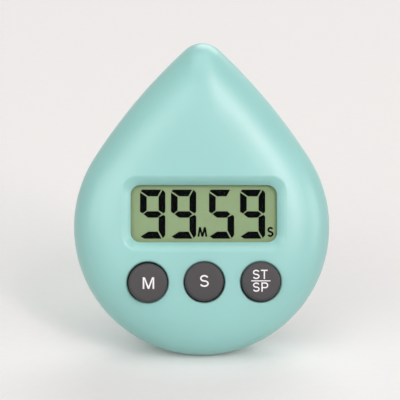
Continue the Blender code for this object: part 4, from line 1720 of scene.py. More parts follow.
@dataclass(frozen=True)
class Display(Assembly):
    """The window, the liquid crystal glass behind it and the time that it shows.

    Attributes:
        film: Width, height and corner of the reflective film.
        glass_levels: Depth of the front glass's front, of the joint and of the rear glass's rear.
        digit_scale: Size of a digit's unit, across and up.
        lit: Segments that each digit lights.
    """

    window_levels: Point = mm(-7.35, -6.75)
    window_edge: float = 0.12 * MM
    film: Size = mm(36.0, 15.0, 0.2)
    film_levels: Point = mm(-6.66, -6.56)
    film_edge: float = 0.02 * MM
    front_glass: RoundedRectangle = RoundedRectangle(*mm(37.6, 17.8, 0.15), mm(0.0, 2.7))
    rear_glass: RoundedRectangle = RoundedRectangle(*mm(37.6, 15.7, 0.15), mm(0.0, 3.75))
    glass_levels: Size = mm(-6.56, -5.4, -4.25)
    glass_edge: float = 0.05 * MM
    ink_rise: float = 0.02 * MM
    digit_scale: Point = mm(1.033, 1.017)
    digit_top: float = 9.0 * MM
    digit_lefts: tuple[float, ...] = mm(-15.25, -7.85, 1.26, 8.72)
    shown: str = "9959"
    lit: tuple[tuple[str, str], ...] = (("9", "abcdfg"), ("5", "acdfg"))
    marks: tuple[Mark, ...] = (
        Mark((Letter.LEANING_M,), mm(2.38, 2.3), mm(-0.32, -1.11), 0.47 * MM),
        Mark((Letter.S,), mm(1.5, 2.45), mm(16.02, -1.13), 0.47 * MM),
    )

    def build(self) -> None:
        """Model the display's pieces and dress them."""
        form = self.layout.display(self.layout.window)
        window = plate("window", form, self.window_levels, self.window_edge)
        dress(window, ACRYLIC, Body.CASE, "display_window")
        dress(self._glass(), FILM, Body.CASE, "lcd_panel")
        dress(self._ink(), INK, Body.CASE, slot="display_glass")

    def _glass(self) -> Workpiece:
        """Return the two glass plates with the film in front.

        Returns:
            The piece, not yet finished.
        """
        glass = plate("lcd_glass", self.layout.display(self.film), self.film_levels, self.film_edge)
        glass.join(
            plate("front_glass", self.front_glass, self.glass_levels[:2], self.glass_edge),
            plate("rear_glass", self.rear_glass, self.glass_levels[1:], self.glass_edge),
        )
        return glass

    @staticmethod
    def segments() -> dict[str, Outline]:
        """Return the lit segments' corners, in units from a digit's top left corner.

        Returns:
            The corners of each segment.
        """
        return {
            "a": [(0.15, -0.38), (1.87, -1.58), (4.06, -1.58), (4.92, 0.0), (0.46, 0.0)],
            "f": [(0.0, -0.67), (0.0, -5.2), (0.64, -5.62), (1.55, -4.9), (1.55, -1.72)],
            "b": [(5.24, 0.0), (4.30, -1.73), (4.30, -4.89), (5.49, -5.64), (5.86, -5.15), (5.86, -0.73)],
            "g": [(0.78, -5.75), (1.88, -6.61), (4.09, -6.61), (5.0, -5.75), (4.26, -5.09), (1.68, -5.09)],
            "c": [(5.46, -5.91), (4.30, -6.52), (4.30, -9.64), (5.29, -11.43), (5.86, -10.7), (5.86, -6.32)],
            "d": [(0.13, -11.02), (0.98, -11.55), (4.98, -11.55), (4.08, -9.87), (1.91, -9.87)],
        }

    def _ink(self) -> Workpiece:
        """Return the switched-on segments and the two letters as one thin piece.

        Returns:
            The piece, not yet finished.
        """
        lit = dict(self.lit)
        scale_x, scale_z = self.digit_scale
        levels = (self.film_levels[0] - self.ink_rise, self.film_levels[0] + self.ink_rise)
        pieces = []
        for left, digit in zip(self.digit_lefts, self.shown):
            for name in lit[digit]:
                corners = self.segments()[name]
                outline = [(left + x * scale_x, self.digit_top + z * scale_z) for x, z in corners]
                pieces.append(slab(f"segment_{name}", outline, levels))
        for mark in self.marks:
            pieces += mark.cut("lcd_letter", levels)
        pieces[0].item.name = "lcd_digits"
        return joined(pieces)


@dataclass(frozen=True)
class KeyPlan:
    """What is particular to one button.

    Attributes:
        name: Start of its pieces' names.
        play: How far it sits from the middle of its hole.
        bar: A line in its legend, from the middle of its face.
    """

    name: str
    play: Point
    marks: tuple[Mark, ...]
    bar: RoundedRectangle | None = None

    @property
    def body(self) -> Body:
        """The body that the button is."""
        return Body(self.name + "_key")

    @property
    def joint(self) -> str:
        """The joint that presses the button."""
        return self.name + "_button_press"


@dataclass(frozen=True)
class KeySet(Assembly):
    """The three buttons with their legends.

    Attributes:
        top: Depth of a button's face at its middle.
        crown: How far the face falls towards its edge.
        print_rise: How far the print stands proud of the face.
    """

    top: float = -10.8 * MM
    crown: float = 0.08 * MM
    face_radius: float = 4.2 * MM
    chamfer: float = 0.4 * MM
    flange_levels: Point = mm(-7.55, -6.95)
    bore_radius: float = 3.8 * MM
    bore_level: float = -9.35 * MM
    stem_radius: float = 1.8 * MM
    stem_end: float = -6.4 * MM
    edge: float = 0.18 * MM
    print_rise: float = 0.015 * MM
    plans: tuple[KeyPlan, ...] = (
        KeyPlan("minute", mm(0.03, -0.14), (Mark((Letter.M,), mm(2.72, 2.75), mm(0.12, -0.15), 0.38 * MM),)),
        KeyPlan("second", mm(-0.12, 0.15), (Mark((Letter.S,), mm(2.15, 2.84), mm(-0.12, 0.33), 0.37 * MM),)),
        KeyPlan(
            "start_stop",
            mm(-0.06, 0.18),
            (
                Mark((Letter.S, Letter.T), mm(3.58, 2.2), mm(-0.29, 1.87), 0.3 * MM, 0.3 * MM),
                Mark((Letter.S, Letter.P), mm(3.68, 2.22), mm(-0.23, -1.15), 0.3 * MM, 0.42 * MM),
            ),
            RoundedRectangle(*mm(4.62, 0.24, 0.1), mm(-0.15, 0.33)),
        ),
    )

    def build(self) -> None:
        """Model the buttons once, copy them to their places and print their legends."""
        places = self.layout.keys()
        seats = [(x + plan.play[0], z + plan.play[1]) for (x, z), plan in zip(places, self.plans)]
        names = [plan.name + "_cap" for plan in self.plans]
        caps = repeat(self._cap(names[0], seats[0]), names, seats)
        for plan, place, cap in zip(self.plans, places, caps):
            dress(cap, GREY, plan.body, plan.name + "_button")
            dress(self._legend(plan, place), LEGEND, plan.body, slot="grey_plastic")

    def _face_level(self, radius: float) -> float:
        """Return the depth of the face at a radius."""
        return self.top + self.crown * (radius / self.face_radius) ** 2

    def _cap(self, name: str, place: Point) -> Workpiece:
        """Return a button: crowned face, chamfer, skirt, flange and stem.

        Args:
            name: The piece's name.
            place: Its (x, z) place.

        Returns:
            The piece, not yet finished.
        """
        layout = self.layout
        steps = 7
        face = [self.face_radius * step / steps for step in range(steps + 1)]
        path = [(radius, self._face_level(radius)) for radius in face]
        front, rear = self.flange_levels
        rest = [
            (layout.key_radius, self.top + self.crown + self.chamfer),
            (layout.key_radius, front),
            (layout.flange_radius, front),
            (layout.flange_radius, rear),
            (self.bore_radius, rear),
            (self.bore_radius, self.bore_level),
            (self.stem_radius, self.bore_level),
            (self.stem_radius, self.stem_end),
            (0.0, self.stem_end),
        ]
        return turned(name, path[:-2] + soften(path[-2:] + rest, self.edge, 4)[1:], place, 64)

    def _legend(self, plan: KeyPlan, place: Point) -> Workpiece:
        """Return a button's legend, laid on its crowned face.

        Args:
            plan: The button's plan.
            place: Its (x, z) place.

        Returns:
            The piece, not yet finished.
        """
        levels = (-self.print_rise, self.print_rise)
        pieces = []
        for mark in plan.marks:
            pieces += mark.cut(plan.name + "_legend", levels, place)
        if plan.bar:
            x, z = plan.bar.centre
            bar = replace(plan.bar, centre=(place[0] + x, place[1] + z))
            pieces.append(slab(plan.name + "_bar", bar.outline(), levels))
        legend = joined(pieces)
        legend.refine(2)
        legend.lift(lambda x, z: self._face_level(math.hypot(x - place[0], z - place[1])))
        return legend


@dataclass(frozen=True)
class Keypad(Assembly):
    """The silicone mat below the buttons, its three domes and the carbon pills in them.

    Attributes:
        dome: (radius, depth) points of a dome's section, outside and inside.
    """

    plans: tuple[KeyPlan, ...]
    mat: RoundedRectangle = RoundedRectangle(*mm(37.8, 11.0, 1.0), mm(0.0, -13.1))
    mat_levels: Point = mm(-2.65, -1.85)
    mat_spacing: float = 1.6 * MM
    hole_radius: float = 3.7 * MM
    dome: Path = mm_path(
        (0.0, -6.15), (2.6, -6.15), (2.6, -4.5), (4.6, -2.65), (3.7, -2.65), (1.9, -3.6), (0.0, -3.6)
    )
    dome_soft: float = 0.3 * MM
    pill_radius: float = 1.5 * MM
    pill_levels: Point = mm(-3.35, -2.9)
    pill_soft: float = 0.1 * MM

    def build(self) -> None:
        """Model the mat, then a dome and a pill once, and copy both to their places."""
        places = self.layout.keys()
        dress(self._mat(), SILICONE, Body.CASE, "rubber_keypad")
        pill_path = soften(drum(self.pill_radius, self.pill_levels), self.pill_soft)
        domes = [turned("minute_dome", soften(self.dome, self.dome_soft), places[0], 48)]
        pills = [turned("minute_pill", pill_path, places[0], 32)]
        for plan, place in zip(self.plans[1:], places[1:]):
            domes.append(domes[0].copy(plan.name + "_dome", places[0], place))
            pills.append(pills[0].copy(plan.name + "_pill", places[0], place))
        for plan, place, dome, pill in zip(self.plans, places, domes, pills):
            dress(pill, CARBON, plan.body, plan.name + "_contact_pill")
            self._give(dress(dome, SILICONE, Body.CASE, "rubber_keypad"), plan, place)

    def _give(self, dome: bpy.types.Object, plan: KeyPlan, place: Point) -> None:
        """Give a dome its own copy of its mesh.

        Args:
            dome: The finished dome.
            plan: Not used.
            place: Not used.
        """
        plan.joint
        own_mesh(dome)

    def _mat(self) -> Workpiece:
        """Return the mat with a hole below each dome.

        Returns:
            The piece, not yet finished.
        """
        front, rear = self.mat_levels
        loops = [self.mat.outline()] + [circle(place, self.hole_radius, 48) for place in self.layout.keys()]
        mat = sheet("keypad_mat", loops, self.mat_spacing, lambda x, z: front)
        back = sheet("mat_rear", loops, self.mat_spacing, lambda x, z: rear)
        for loop in loops:
            mat.extend([ring_at(loop, rear)], ring_at(loop, front))
        mat.join(back)
        return mat


@dataclass(frozen=True)
class TurnedPart:
    """An inner piece that is turned on a lathe or pressed round.

    Attributes:
        node: Solid that it stands for.
        path: (radius, depth) points of its section.
    """

    name: str
    node: str
    finish: Finish
    centre: Point
    path: Path
    soft: float = 0.12 * MM
    soft_steps: int = 4
    count: int = 64

    def build(self) -> None:
        """Turn the piece and dress it."""
        piece = turned(self.name, soften(self.path, self.soft, self.soft_steps), self.centre, self.count)
        dress(piece, self.finish, Body.CASE, self.node)


@dataclass(frozen=True)
class Interior(Assembly):
    """The display's strips, the electronics, the cell and the sounder.

    Attributes:
        chip_root: Depth where it starts, below the board's surface.
        cell_path: (radius, depth) points of the cell's can, crimped edge and cap.
        crystal_path: (radius, length) points of its section.
        kept: Solids that keep their shape, and their finish.
    """

    foam: RoundedRectangle = RoundedRectangle(*mm(33.0, 2.4, 0.4), mm(0.0, 10.15))
    foam_levels: Point = mm(-4.2, -1.65)
    foam_edge: float = 0.35 * MM
    connector: RoundedRectangle = RoundedRectangle(*mm(34.0, 1.6, 0.15), mm(0.0, -5.15))
    connector_levels: Point = mm(-5.35, -1.65)
    connector_edge: float = 0.1 * MM
    chip: Point = mm(-12.5, -3.0)
    chip_radius: float = 4.2 * MM
    chip_rise: float = 1.4 * MM
    chip_root: float = -0.6 * MM
    cell_path: Path = mm_path(
        (0.0, 0.6), (4.7, 0.6), (4.8, 1.1), (5.2, 1.1), (5.3, 0.8), (5.8, 1.0), (5.8, 5.95), (0.0, 5.95)
    )
    brass_path: Path = drum(9.1 * MM, mm(4.15, 4.45))
    ceramic_path: Path = mm_path((0.0, 3.85), (5.5, 3.85), (5.6, 3.9), (6.2, 3.9), (6.2, 4.15), (0.0, 4.15))
    crystal_centre: Size = mm(12.5, 0.65, 0.5)
    crystal_path: Path = mm_path((0.0, -3.0), (0.95, -3.0), (0.95, 2.6), (1.1, 2.7), (1.1, 3.0), (0.0, 3.0))
    crystal_soft: float = 0.25 * MM
    kept: tuple[tuple[str, Finish], ...] = (
        ("circuit_board", LAMINATE),
        ("negative_contact", STEEL),
        ("positive_contact", STEEL),
        ("buzzer_signal_wire", RED_WIRE),
        ("buzzer_ground_wire", BLACK_WIRE),
    )

    def build(self) -> None:
        """Model the pieces, and finish the solids that keep their shape."""
        foam = plate("foam_strip", self.foam, self.foam_levels, self.foam_edge)
        dress(foam, FOAM, Body.CASE, "lcd_foam_strip")
        connector = plate("connector_strip", self.connector, self.connector_levels, self.connector_edge)
        dress(connector, CONNECTOR, Body.CASE, "zebra_strip")
        for part in self._round_parts():
            part.build()
        crystal = turned("crystal_can", soften(self.crystal_path, self.crystal_soft), (0.0, 0.0), 32)
        crystal.turn(Matrix.Translation(self.crystal_centre) @ Matrix.Rotation(math.pi / 2, 4, "Z"))
        dress(crystal, STEEL, Body.CASE, "quartz_crystal")
        for node, finish in self.kept:
            coat(node, finish)

    def _round_parts(self) -> tuple[TurnedPart, ...]:
        """Return the drop over the chip, the cell and the sounder's two discs.

        Returns:
            The parts, in order.
        """
        cell = (0.0, self.layout.cell_height)
        sounder = (0.0, self.layout.buzzer_height)
        start = (0.0, self.chip_root)
        drop = arc(start, (self.chip_radius, self.chip_rise), 0.0, math.pi / 2, 10)
        return (
            TurnedPart("chip_drop", "chip_blob", EPOXY, self.chip, [start, *drop]),
            TurnedPart("coin_cell", "button_cell", NICKEL, cell, self.cell_path, 0.25 * MM),
            TurnedPart("brass_disc", "buzzer_plate", BRASS, sounder, self.brass_path, 0.1 * MM),
            TurnedPart("ceramic_disc", "buzzer_ceramic", CERAMIC, sounder, self.ceramic_path, 0.04 * MM),
        )


@dataclass(frozen=True)
class RearShell(Shell):
    """The rear half case: crowned back, stand pocket, battery bay, magnet pocket and screw wells.

    Attributes:
        lip: How far the lip that goes into the front case is inset, outside and inside.
        lip_levels: Depth of the lip's end and of its root.
        floor_inset: How far the pocket's floor is inside the back.
        floor_least: Least depth of that floor.
        backing_inset: How far the wall behind the pocket is inside the back.
        cap_well: (radius, depth) from the cap's seat through its race and the cell's well.
        magnet_well: Same of the magnet's pocket, down to the middle of its floor.
        screw_well: Same from a case screw's well through its boss.
        magnet_boss: Radius and depth of the boss inside behind the magnet.
    """

    facing: Facing = Facing.REAR
    fullness: float = 9.0
    zone: float = 0.978
    inner_zone: float = 0.985
    spacing: float = 1.3 * MM
    lip: Point = mm(1.3, 2.1)
    lip_levels: Point = mm(-1.4, 1.2)
    edge: float = 0.3 * MM
    pocket: RoundedRectangle = RoundedRectangle(*mm(21.6, 26.45, 2.2), mm(0.0, -15.725), 6, 18, 20)
    floor_inset: float = 2.9 * MM
    floor_least: float = 4.2 * MM
    backing_inset: float = 4.2 * MM
    backing_least: float = 1.0 * MM
    backing_half_width: float = 11.8 * MM
    backing_top: float = -1.6 * MM
    backing_radius: float = 28.2 * MM
    cap_well: Path = mm_path(
        (8.45, 8.4), (6.3, 8.4), (6.3, 7.3), (7.7, 7.3), (7.7, 5.9),
        (6.15, 5.9), (6.15, 1.2), (7.4, 1.2), (7.4, 4.2), (9.1, 4.2),
    )
    magnet_well: Path = mm_path((5.25, 7.65), (0.0, 7.65))
    screw_well: Path = mm_path((2.15, 6.4), (1.2, 6.4), (1.2, 0.3), (3.2, 0.3))
    magnet_boss: Point = mm(6.65, 6.25)
    sound_circle: float = 3.6 * MM
    sound_radius: float = 0.75 * MM

    def build(self) -> None:
        """Model the shell and dress it."""
        shell = self._outside()
        shell.join(self._inside(), self._pocket_floor())
        shell.cut_at_table()
        dress(shell, MINT, Body.CASE, "rear_case")

    def _floor_level(self, x: float, z: float) -> float:
        """Return the depth of the pocket's floor."""
        return max(self.floor_least, self.dome().level(x, z, self.floor_inset))

    def _backing_level(self, x: float, z: float) -> float:
        """Return the depth of the wall behind the pocket."""
        return max(self.backing_least, self.dome().level(x, z, self.backing_inset))

    def _backing(self) -> Outline:
        """Return the outline of the wall behind the pocket: a slab with a round lower end.

        Returns:
            The points, in order.
        """
        half = self.backing_half_width
        corner = -math.sqrt(self.backing_radius**2 - half**2)
        steps = 14
        top = self.backing_top
        right = [(half, top + (corner - top) * step / steps) for step in range(steps)]
        start = math.atan2(corner, half)
        radii = (self.backing_radius, self.backing_radius)
        lower = arc((0.0, 0.0), radii, start, -math.pi - start, 2 * steps)
        left = [(-x, z) for x, z in right[::-1]]
        upper = [(half * (2 * step / steps - 1), top) for step in range(1, steps)]
        return right + lower + left + upper

    def _sound_holes(self) -> list[Outline]:
        """Return the outlines of the sound holes in the pocket's floor."""
        middle = (0.0, self.layout.buzzer_height)
        return [circle(place, self.sound_radius, 16) for place in circle(middle, self.sound_circle, 6)]

    def _wells(self) -> list[tuple[Point, int, Path]]:
        """Return place, steps round and section of the round openings.

        Returns:
            The openings, the battery cap's first.
        """
        wells = [
            ((0.0, self.layout.cell_height), 72, self.cap_well),
            ((0.0, self.layout.magnet_height), 56, self.magnet_well),
        ]
        return wells + [(place, 28, self.screw_well) for place in self.layout.case_screws]

    def _outside(self) -> Workpiece:
        """Return the back with its rim, the stand's pocket and the round openings.

        Returns:
            The piece, not yet finished.
        """
        dome = self.dome()
        pocket = self.pocket.outline()
        pocket_mouth = self.pocket.grown(self.edge).outline()
        wells = self._wells()
        mouths = [circle(place, path[0][0] + self.edge, count) for place, count, path in wells]
        shell = self._dome_skin("rear_shell", [pocket_mouth, *mouths], 12)
        end, root = self.lip_levels
        outer, inner = self.lip
        lip = [(0.0, 4 * dome.rim), (0.0, dome.rim), (outer, dome.rim)]
        lip += [(outer, end), (inner, end), (inner, root)]
        shell.extend(self._rim(soften(lip, self.rim_soft)[2:], root))
        edge = quarter_round(pocket_mouth, pocket, dome.level, -self.edge)
        shell.extend([*edge, ring_at(pocket, self._floor_level)], ring_at(pocket_mouth, dome.level))
        for (place, count, path), mouth in zip(wells, mouths):
            rings = quarter_round(mouth, circle(place, path[0][0], count), dome.level, -self.edge)
            rings += [ring_at(circle(place, radius, count), level) for radius, level in path]
            last = path[-1][0]
            if last > 0.0:
                rings.append(ring_at(circle(place, last, count), self._inner_level))
            shell.extend(rings, ring_at(mouth, dome.level))
        return shell

    def _inside(self) -> Workpiece:
        """Return the inner wall round the bosses, with the wall behind the stand's pocket.

        Returns:
            The piece, not yet finished.
        """
        radius, level = self.magnet_boss
        middle = (0.0, self.layout.magnet_height)
        boss = circle(middle, radius, 56)
        backing = self._backing()
        loops = [boss, backing]
        for place, count, path in self._wells():
            last = path[-1][0]
            if last > 0.0:
                loops.append(circle(place, last, count))
        inside = self._inner_skin("rear_inside", loops, 1.6 * self.spacing, self.lip_levels[1], 5)
        floor = [ring_at(boss, level), ring_at(circle(middle, 0.0, 56), level)]
        inside.extend(floor, ring_at(boss, self._inner_level))
        inside.extend([ring_at(backing, self._backing_level)], ring_at(backing, self._inner_level))
        loops = [backing, *self._sound_holes()]
        inside.join(sheet("pocket_backing", loops, self.spacing, self._backing_level))
        return inside

    def _pocket_floor(self) -> Workpiece:
        """Lay the pocket's floor and drill its sound holes.

        Returns:
            The piece, not yet finished.
        """
        holes = self._sound_holes()
        floor = sheet("pocket_floor", [self.pocket.outline(), *holes], self.spacing, self._floor_level)
        for hole in holes:
            floor.extend([ring_at(hole, self._backing_level)], ring_at(hole, self._floor_level))
        return floor


@dataclass(frozen=True)
class Stand:
    """The fold-out stand: a tongue of the back's own curve on two pins.

    Attributes:
        dome: Back's curve.
        leaf: Outline, folded, before it is cut to the table.
        least: Least depth of its inner face.
        hinge: Depth and height of its hinge.
        opening: Angle that it is opened by at rest.
    """

    dome: Dome
    leaf: RoundedRectangle = RoundedRectangle(*mm(20.8, 25.9, 1.0), mm(0.0, -16.45), 6, 18, 22)
    thickness: float = 2.5 * MM
    least: float = 4.7 * MM
    edge: float = 0.4 * MM
    spacing: float = 1.2 * MM
    hinge: Point = mm(8.65, -4.2)
    opening: float = math.radians(37.15102)
    pin_radius: float = 0.75 * MM
    pin_reach: float = 12.0 * MM
    pin_root: float = 1.0 * MM
    pin_soft: float = 0.15 * MM

    def build(self) -> None:
        """Model the stand on the back's dome, open it, cut its end to the table and dress it."""
        stand = self._leaf()
        stand.join(*self._pins())
        axis = Vector((0.0, *self.hinge))
        swing = Matrix.Rotation(self.opening, 4, "X")
        stand.turn(Matrix.Translation(axis) @ swing @ Matrix.Translation(-axis))
        stand.cut_at_table()
        dress(stand, MINT, Body.STAND, "stand")

    def _outer_level(self, x: float, z: float) -> float:
        """Return the depth of the outer face."""
        return max(self.least + self.thickness / 2, self.dome.level(x, z))

    def _inner_level(self, x: float, z: float) -> float:
        """Return the depth of the inner face."""
        return max(self.least, self.dome.level(x, z, self.thickness))

    def _leaf(self) -> Workpiece:
        """Return the folded leaf, with all its edges rounded.

        Returns:
            The piece, not yet finished.
        """
        side = self.leaf.outline()
        face = self.leaf.grown(-self.edge).outline()
        outer = quarter_round(face, side, self._outer_level, -self.edge)
        inner = quarter_round(face, side, self._inner_level, self.edge)
        leaf = sheet("stand_leaf", [face], self.spacing, self._outer_level)
        rings = [*outer, *inner[::-1], ring_at(face, self._inner_level)]
        leaf.extend(rings, ring_at(face, self._outer_level))
        leaf.join(sheet("stand_inside", [face], self.spacing, self._inner_level))
        return leaf

    def _pins(self) -> list[Workpiece]:
        """Return the two hinge pins.

        Returns:
            The pieces, not yet finished.
        """
        root = self.leaf.width / 2 - self.pin_root
        path = soften(drum(self.pin_radius, (root, self.pin_reach)), self.pin_soft)
        pins = []
        for side in (-1, 1):
            pin = turned("stand_pin", path, (0.0, 0.0), 20)
            swing = Matrix.Rotation(-side * math.pi / 2, 4, "Z")
            pin.turn(Matrix.Translation((0.0, *self.hinge)) @ swing)
            pins.append(pin)
        return pins


@dataclass(frozen=True)
class BatteryCap(Assembly):
    """The cap that a coin turns to open the battery bay.

    Attributes:
        head: Depth of its head's front.
        hub: Depth of the hub's front.
        slot: Length, width and depth of the coin slot.
        lugs: Outline of the two lugs, from the cap's middle.
    """

    radius: float = 8.2 * MM
    head: float = 8.65 * MM
    edge: float = 0.4 * MM
    hub_radius: float = 6.0 * MM
    hub: float = 6.2 * MM
    slot: Size = mm(10.4, 1.9, 0.7)
    slot_edge: float = 0.15 * MM
    lugs: Size = mm(14.2, 3.6, 0.4)
    lug_thickness: float = 0.75 * MM
    lug_edge: float = 0.1 * MM
    spacing: float = 1.1 * MM
    count: int = 72

    def build(self) -> None:
        """Model the cap and dress it."""
        cap = self._disc()
        lugs = RoundedRectangle(*self.lugs, (0.0, self.layout.cell_height))
        cap.join(plate("cap_lugs", lugs, (self.hub, self.hub + self.lug_thickness), self.lug_edge))
        dress(cap, MINT, Body.CAP, "battery_cap")

    def _disc(self) -> Workpiece:
        """Return the disc with its slot, rounded edge and hub.

        Returns:
            The piece, not yet finished.
        """
        middle = (0.0, self.layout.cell_height)
        face = self.layout.rear_depth
        length, width, depth = self.slot
        soft = self.slot_edge
        rim = circle(middle, self.radius - self.edge, self.count)
        grown = (length + 2 * soft, width + 2 * soft, width / 2 + soft)
        mouth = RoundedRectangle(*grown, middle, 8, 18, 2).outline()
        wall = RoundedRectangle(length, width, width / 2 - 0.01 * MM, middle, 8, 18, 2).outline()
        disc = sheet("coin_cap", [rim, mouth], self.spacing, lambda x, z: face)
        disc.extend([ring_at(wall, face - soft), ring_at(wall, face - depth)], ring_at(mouth, face))
        disc.close()
        path = [
            (self.radius - 2 * self.edge, face),
            (self.radius, face),
            (self.radius, self.head),
            (self.hub_radius, self.head),
            (self.hub_radius, self.hub),
            (0.0, self.hub),
        ]
        rounded = soften(path, self.edge, 5)[2:]
        rings = [ring_at(circle(middle, radius, self.count), level) for radius, level in rounded]
        disc.extend(rings, ring_at(rim, face))
        return disc


@dataclass(frozen=True)
class Magnet(Assembly):
    """The round magnet in the back."""

    radius: float = 5.0 * MM
    levels: Point = mm(7.9, 9.9)
    edge: float = 0.35 * MM

    def build(self) -> None:
        """Model the magnet and dress it."""
        place = (0.0, self.layout.magnet_height)
        path = drum(self.radius, self.levels)
        TurnedPart("round_magnet", "magnet", NICKEL, place, path, self.edge, 5, 56).build()


@dataclass(frozen=True)
class ScrewKind:
    """A self-tapping screw with a rounded head and a cross recess, modelled once and copied.

    Attributes:
        name: Start of its copies' names.
        nodes: Solids that they stand for.
        radius: Radius of its thread.
        seat: Depth of the underside of its head.
    """

    name: str
    places: Path
    nodes: Sequence[str]
    head_radius: float
    head_height: float
    radius: float
    length: float
    pitch: float
    seat: float
    count: int = 28

    def build(self) -> None:
        """Model the screw at the first place, copy it to the others and dress them all."""
        names = [f"{self.name}_{index}" for index, _ in enumerate(self.places, 1)]
        screws = repeat(self._screw(names[0], self.places[0]), names, self.places)
        for screw, node in zip(screws, self.nodes):
            dress(screw, STEEL, Body.CASE, node)

    @staticmethod
    def _cross(place: Point, reach: float, half: float) -> Outline:
        """Return the outline of a cross about a place, by its arms' reach and half of their width.

        Args:
            place: Its (x, z) place.
            reach: The reach of its arms.
            half: Half of their width.

        Returns:
            The points, in order.
        """
        points = []
        for cos, sin in ((1, 0), (0, 1), (-1, 0), (0, -1)):
            for x, z in ((reach, -half), (reach, half), (half, half)):
                points.append((place[0] + x * cos - z * sin, place[1] + x * sin + z * cos))
        return points

    def _screw(self, name: str, place: Point) -> Workpiece:
        """Return a screw: recessed head, rounded rim, underside and thread.

        Args:
            name: The piece's name.
            place: Its (x, z) place.

        Returns:
            The piece, not yet finished.
        """
        head = self.head_radius
        top = self.seat + self.head_height
        reach = 0.62 * head
        half = 0.14 * head
        flat = 0.78 * head
        mouth = self._cross(place, reach, half)
        crown = circle(place, flat, self.count)
        screw = sheet(name, [crown, mouth], 0.4 * head, lambda x, z: top)
        floor = self._cross(place, 0.35 * reach, 0.5 * half)
        screw.extend([ring_at(floor, top - 0.6 * self.head_height)], ring_at(mouth, top))
        screw.close()
        rounded = soften([(flat, top), (0.95 * head, top), (head, self.seat)], 0.5 * self.head_height, 5)
        rings = [ring_at(circle(place, radius, self.count), level) for radius, level in rounded[1:]]
        screw.extend(rings + self._thread(place), ring_at(crown, top))
        return screw

    def _thread(self, place: Point) -> list[Ring]:
        """Return the rings of the thread, each a little further round its helix, down to the point.

        Args:
            place: Its (x, z) place.

        Returns:
            The rings, in order.
        """
        rings = []
        steps = 5
        run_out_turns = 1.5
        steepness = 3.2
        tip_share = 0.35
        last = int(steps * self.length / self.pitch)
        core = 0.78 * self.radius
        for index in range(last + 1):
            level = self.seat - self.length * index / last
            full = min(1.0, (last - index) / (run_out_turns * steps))
            ring = []
            for step in range(self.count):
                angle = 2 * math.pi * step / self.count
                phase = (level / self.pitch + step / self.count) % 1.0
                ridge = max(0.0, 1.0 - steepness * abs(phase - 0.5))
                radius = core * (tip_share + (1.0 - tip_share) * full) + (self.radius - core) * ridge * full
                x = place[0] + radius * math.cos(angle)
                ring.append(Vector((x, level, place[1] + radius * math.sin(angle))))
            rings.append(ring)
        return [*rings, ring_at(circle(place, 0.0, self.count), self.seat - self.length)]


@dataclass(frozen=True)
class SoftBox:
    """A square studio light.

    Attributes:
        aside: Angle that it stands to the right of the timer's front, in degrees.
        above: Angle that it stands above the table, in degrees.
    """

    name: str
    aside: float
    above: float
    width: float
    height: float
    power: float
    tint: Colour = (1.0, 1.0, 1.0)
    away: float = 4.0

    def build(self, aim: Vector) -> None:
        """Set the light up, pointed at a place.

        Args:
            aim: The point that it looks at.
        """
        aside = math.radians(self.aside)
        above = math.radians(self.above)
        level = math.cos(above)
        way = Vector((level * math.sin(aside), -level * math.cos(aside), math.sin(above)))
        bpy.ops.object.light_add(type="AREA", location=aim + way * self.away)
        lamp = bpy.context.active_object
        lamp.name = self.name
        lamp.data.shape = "RECTANGLE"
        lamp.data.size = self.width
        lamp.data.size_y = self.height
        lamp.data.energy = self.power
        lamp.data.color = self.tint
        lamp.rotation_euler = way.to_track_quat("Z", "Y").to_euler()


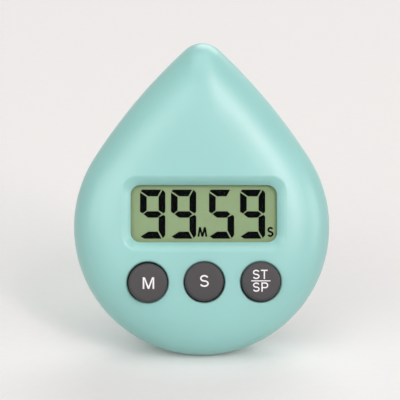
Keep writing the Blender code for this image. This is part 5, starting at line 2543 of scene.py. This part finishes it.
@dataclass(frozen=True)
class Studio:
    """The floor, the lights and the camera.

    Attributes:
        aim: That point, in the body frame.
        aside: How far it stands to the left of square on.
        below: How far it stands below square on.
        backdrop: Colour behind the floor.
    """

    lens: float = 185.0
    sensor: float = 36.0
    distance: float = 498.7 * MM
    aim: Size = mm(-0.485, 0.0, 6.565)
    aside: float = math.radians(3.5)
    below: float = math.radians(0.4)
    floor_size: float = 8.0
    ambient: float = 0.12
    backdrop: Colour = (0.81, 0.82, 0.79)
    boxes: tuple[SoftBox, ...] = (
        SoftBox("right_light", 33.0, 29.0, 2.2, 2.2, 29.0),
        SoftBox("right_strip", 26.0, 34.0, 0.5, 2.6, 36.0, (1.0, 0.72, 0.79)),
        SoftBox("right_side_light", 72.0, 13.0, 2.2, 2.0, 30.0),
        SoftBox("left_light", -28.0, 27.0, 2.6, 2.2, 40.5),
        SoftBox("left_side_light", -62.0, 22.0, 1.6, 2.2, 19.0),
        SoftBox("top_light", 0.0, 80.0, 3.2, 3.0, 36.0),
        SoftBox("rear_light", 162.0, 40.0, 3.0, 2.4, 55.0),
    )

    def build(self) -> None:
        """Lay the floor, light it and point the camera."""
        bpy.context.scene.view_settings.view_transform = "Standard"
        self._floor()
        self._world()
        for box in self.boxes:
            box.build(STANDING @ Vector(self.aim))
        self._camera()

    def _floor(self) -> None:
        """Lay the paper."""
        clear_bench()
        bpy.ops.mesh.primitive_plane_add(size=self.floor_size)
        floor = bpy.context.active_object
        floor.name = "paper_floor"
        floor.data.materials.append(FLOOR.material())

    def _world(self) -> None:
        """Light evenly, and show the backdrop to the camera and in reflections."""
        scene = bpy.context.scene
        scene.world = scene.world or bpy.data.worlds.new("studio")
        scene.world.use_nodes = True
        scene.world.node_tree.nodes.clear()
        nodes = NodeTree(scene.world.node_tree)
        even = nodes.add("Background", Color=(1.0, 1.0, 1.0, 1.0), Strength=self.ambient)
        shown = nodes.add("Background", Color=(*self.backdrop, 1.0))
        mixed = nodes.add("MixShader", Fac=nodes.seen())
        nodes.feed(mixed.inputs[1], even.outputs["Background"])
        nodes.feed(mixed.inputs[2], shown.outputs["Background"])
        nodes.add("OutputWorld", Surface=mixed.outputs["Shader"])

    def _camera(self) -> None:
        """Point the camera as the photograph was taken."""
        bpy.ops.object.camera_add()
        camera = bpy.context.active_object
        camera.name = "front_camera"
        camera.data.lens = self.lens
        camera.data.sensor_width = self.sensor
        camera.data.clip_end = 100.0
        turn = Matrix.Rotation(-self.aside, 4, "Z") @ Matrix.Rotation(math.pi / 2 + self.below, 4, "X")
        away = turn @ Vector((0.0, 0.0, self.distance))
        camera.matrix_world = STANDING @ Matrix.Translation(Vector(self.aim) + away) @ turn
        bpy.context.scene.camera = camera


def screws(layout: Layout) -> tuple[ScrewKind, ScrewKind]:
    """Return the case screws and the board screws.

    Args:
        layout: The shared sizes.

    Returns:
        The two kinds.
    """
    case = ScrewKind(
        "case_screw",
        layout.case_screws,
        ("case_screw_top", "case_screw_left", "case_screw_right"),
        head_radius=1.9 * MM,
        head_height=1.2 * MM,
        radius=0.95 * MM,
        length=11.0 * MM,
        pitch=0.9 * MM,
        seat=6.65 * MM,
    )
    board = ScrewKind(
        "board_screw",
        layout.board_screws,
        [f"board_screw_{index}" for index in range(1, 5)],
        head_radius=1.4 * MM,
        head_height=0.9 * MM,
        radius=0.55 * MM,
        length=4.2 * MM,
        pitch=0.6 * MM,
        seat=-0.35 * MM,
    )
    return case, board


def main() -> None:
    """Build the timer's sub-assemblies in order, then the studio."""
    logging.basicConfig(level=logging.INFO, format="%(message)s")
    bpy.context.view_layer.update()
    layout = Layout()
    keys = KeySet(layout)
    rear = RearShell(layout)
    FrontShell(layout).build()
    Display(layout).build()
    keys.build()
    Keypad(layout, keys.plans).build()
    Interior(layout).build()
    rear.build()
    Stand(rear.dome()).build()
    BatteryCap(layout).build()
    Magnet(layout).build()
    for kind in screws(layout):
        kind.build()
    Studio().build()


if __name__ == "__main__":
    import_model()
    main()
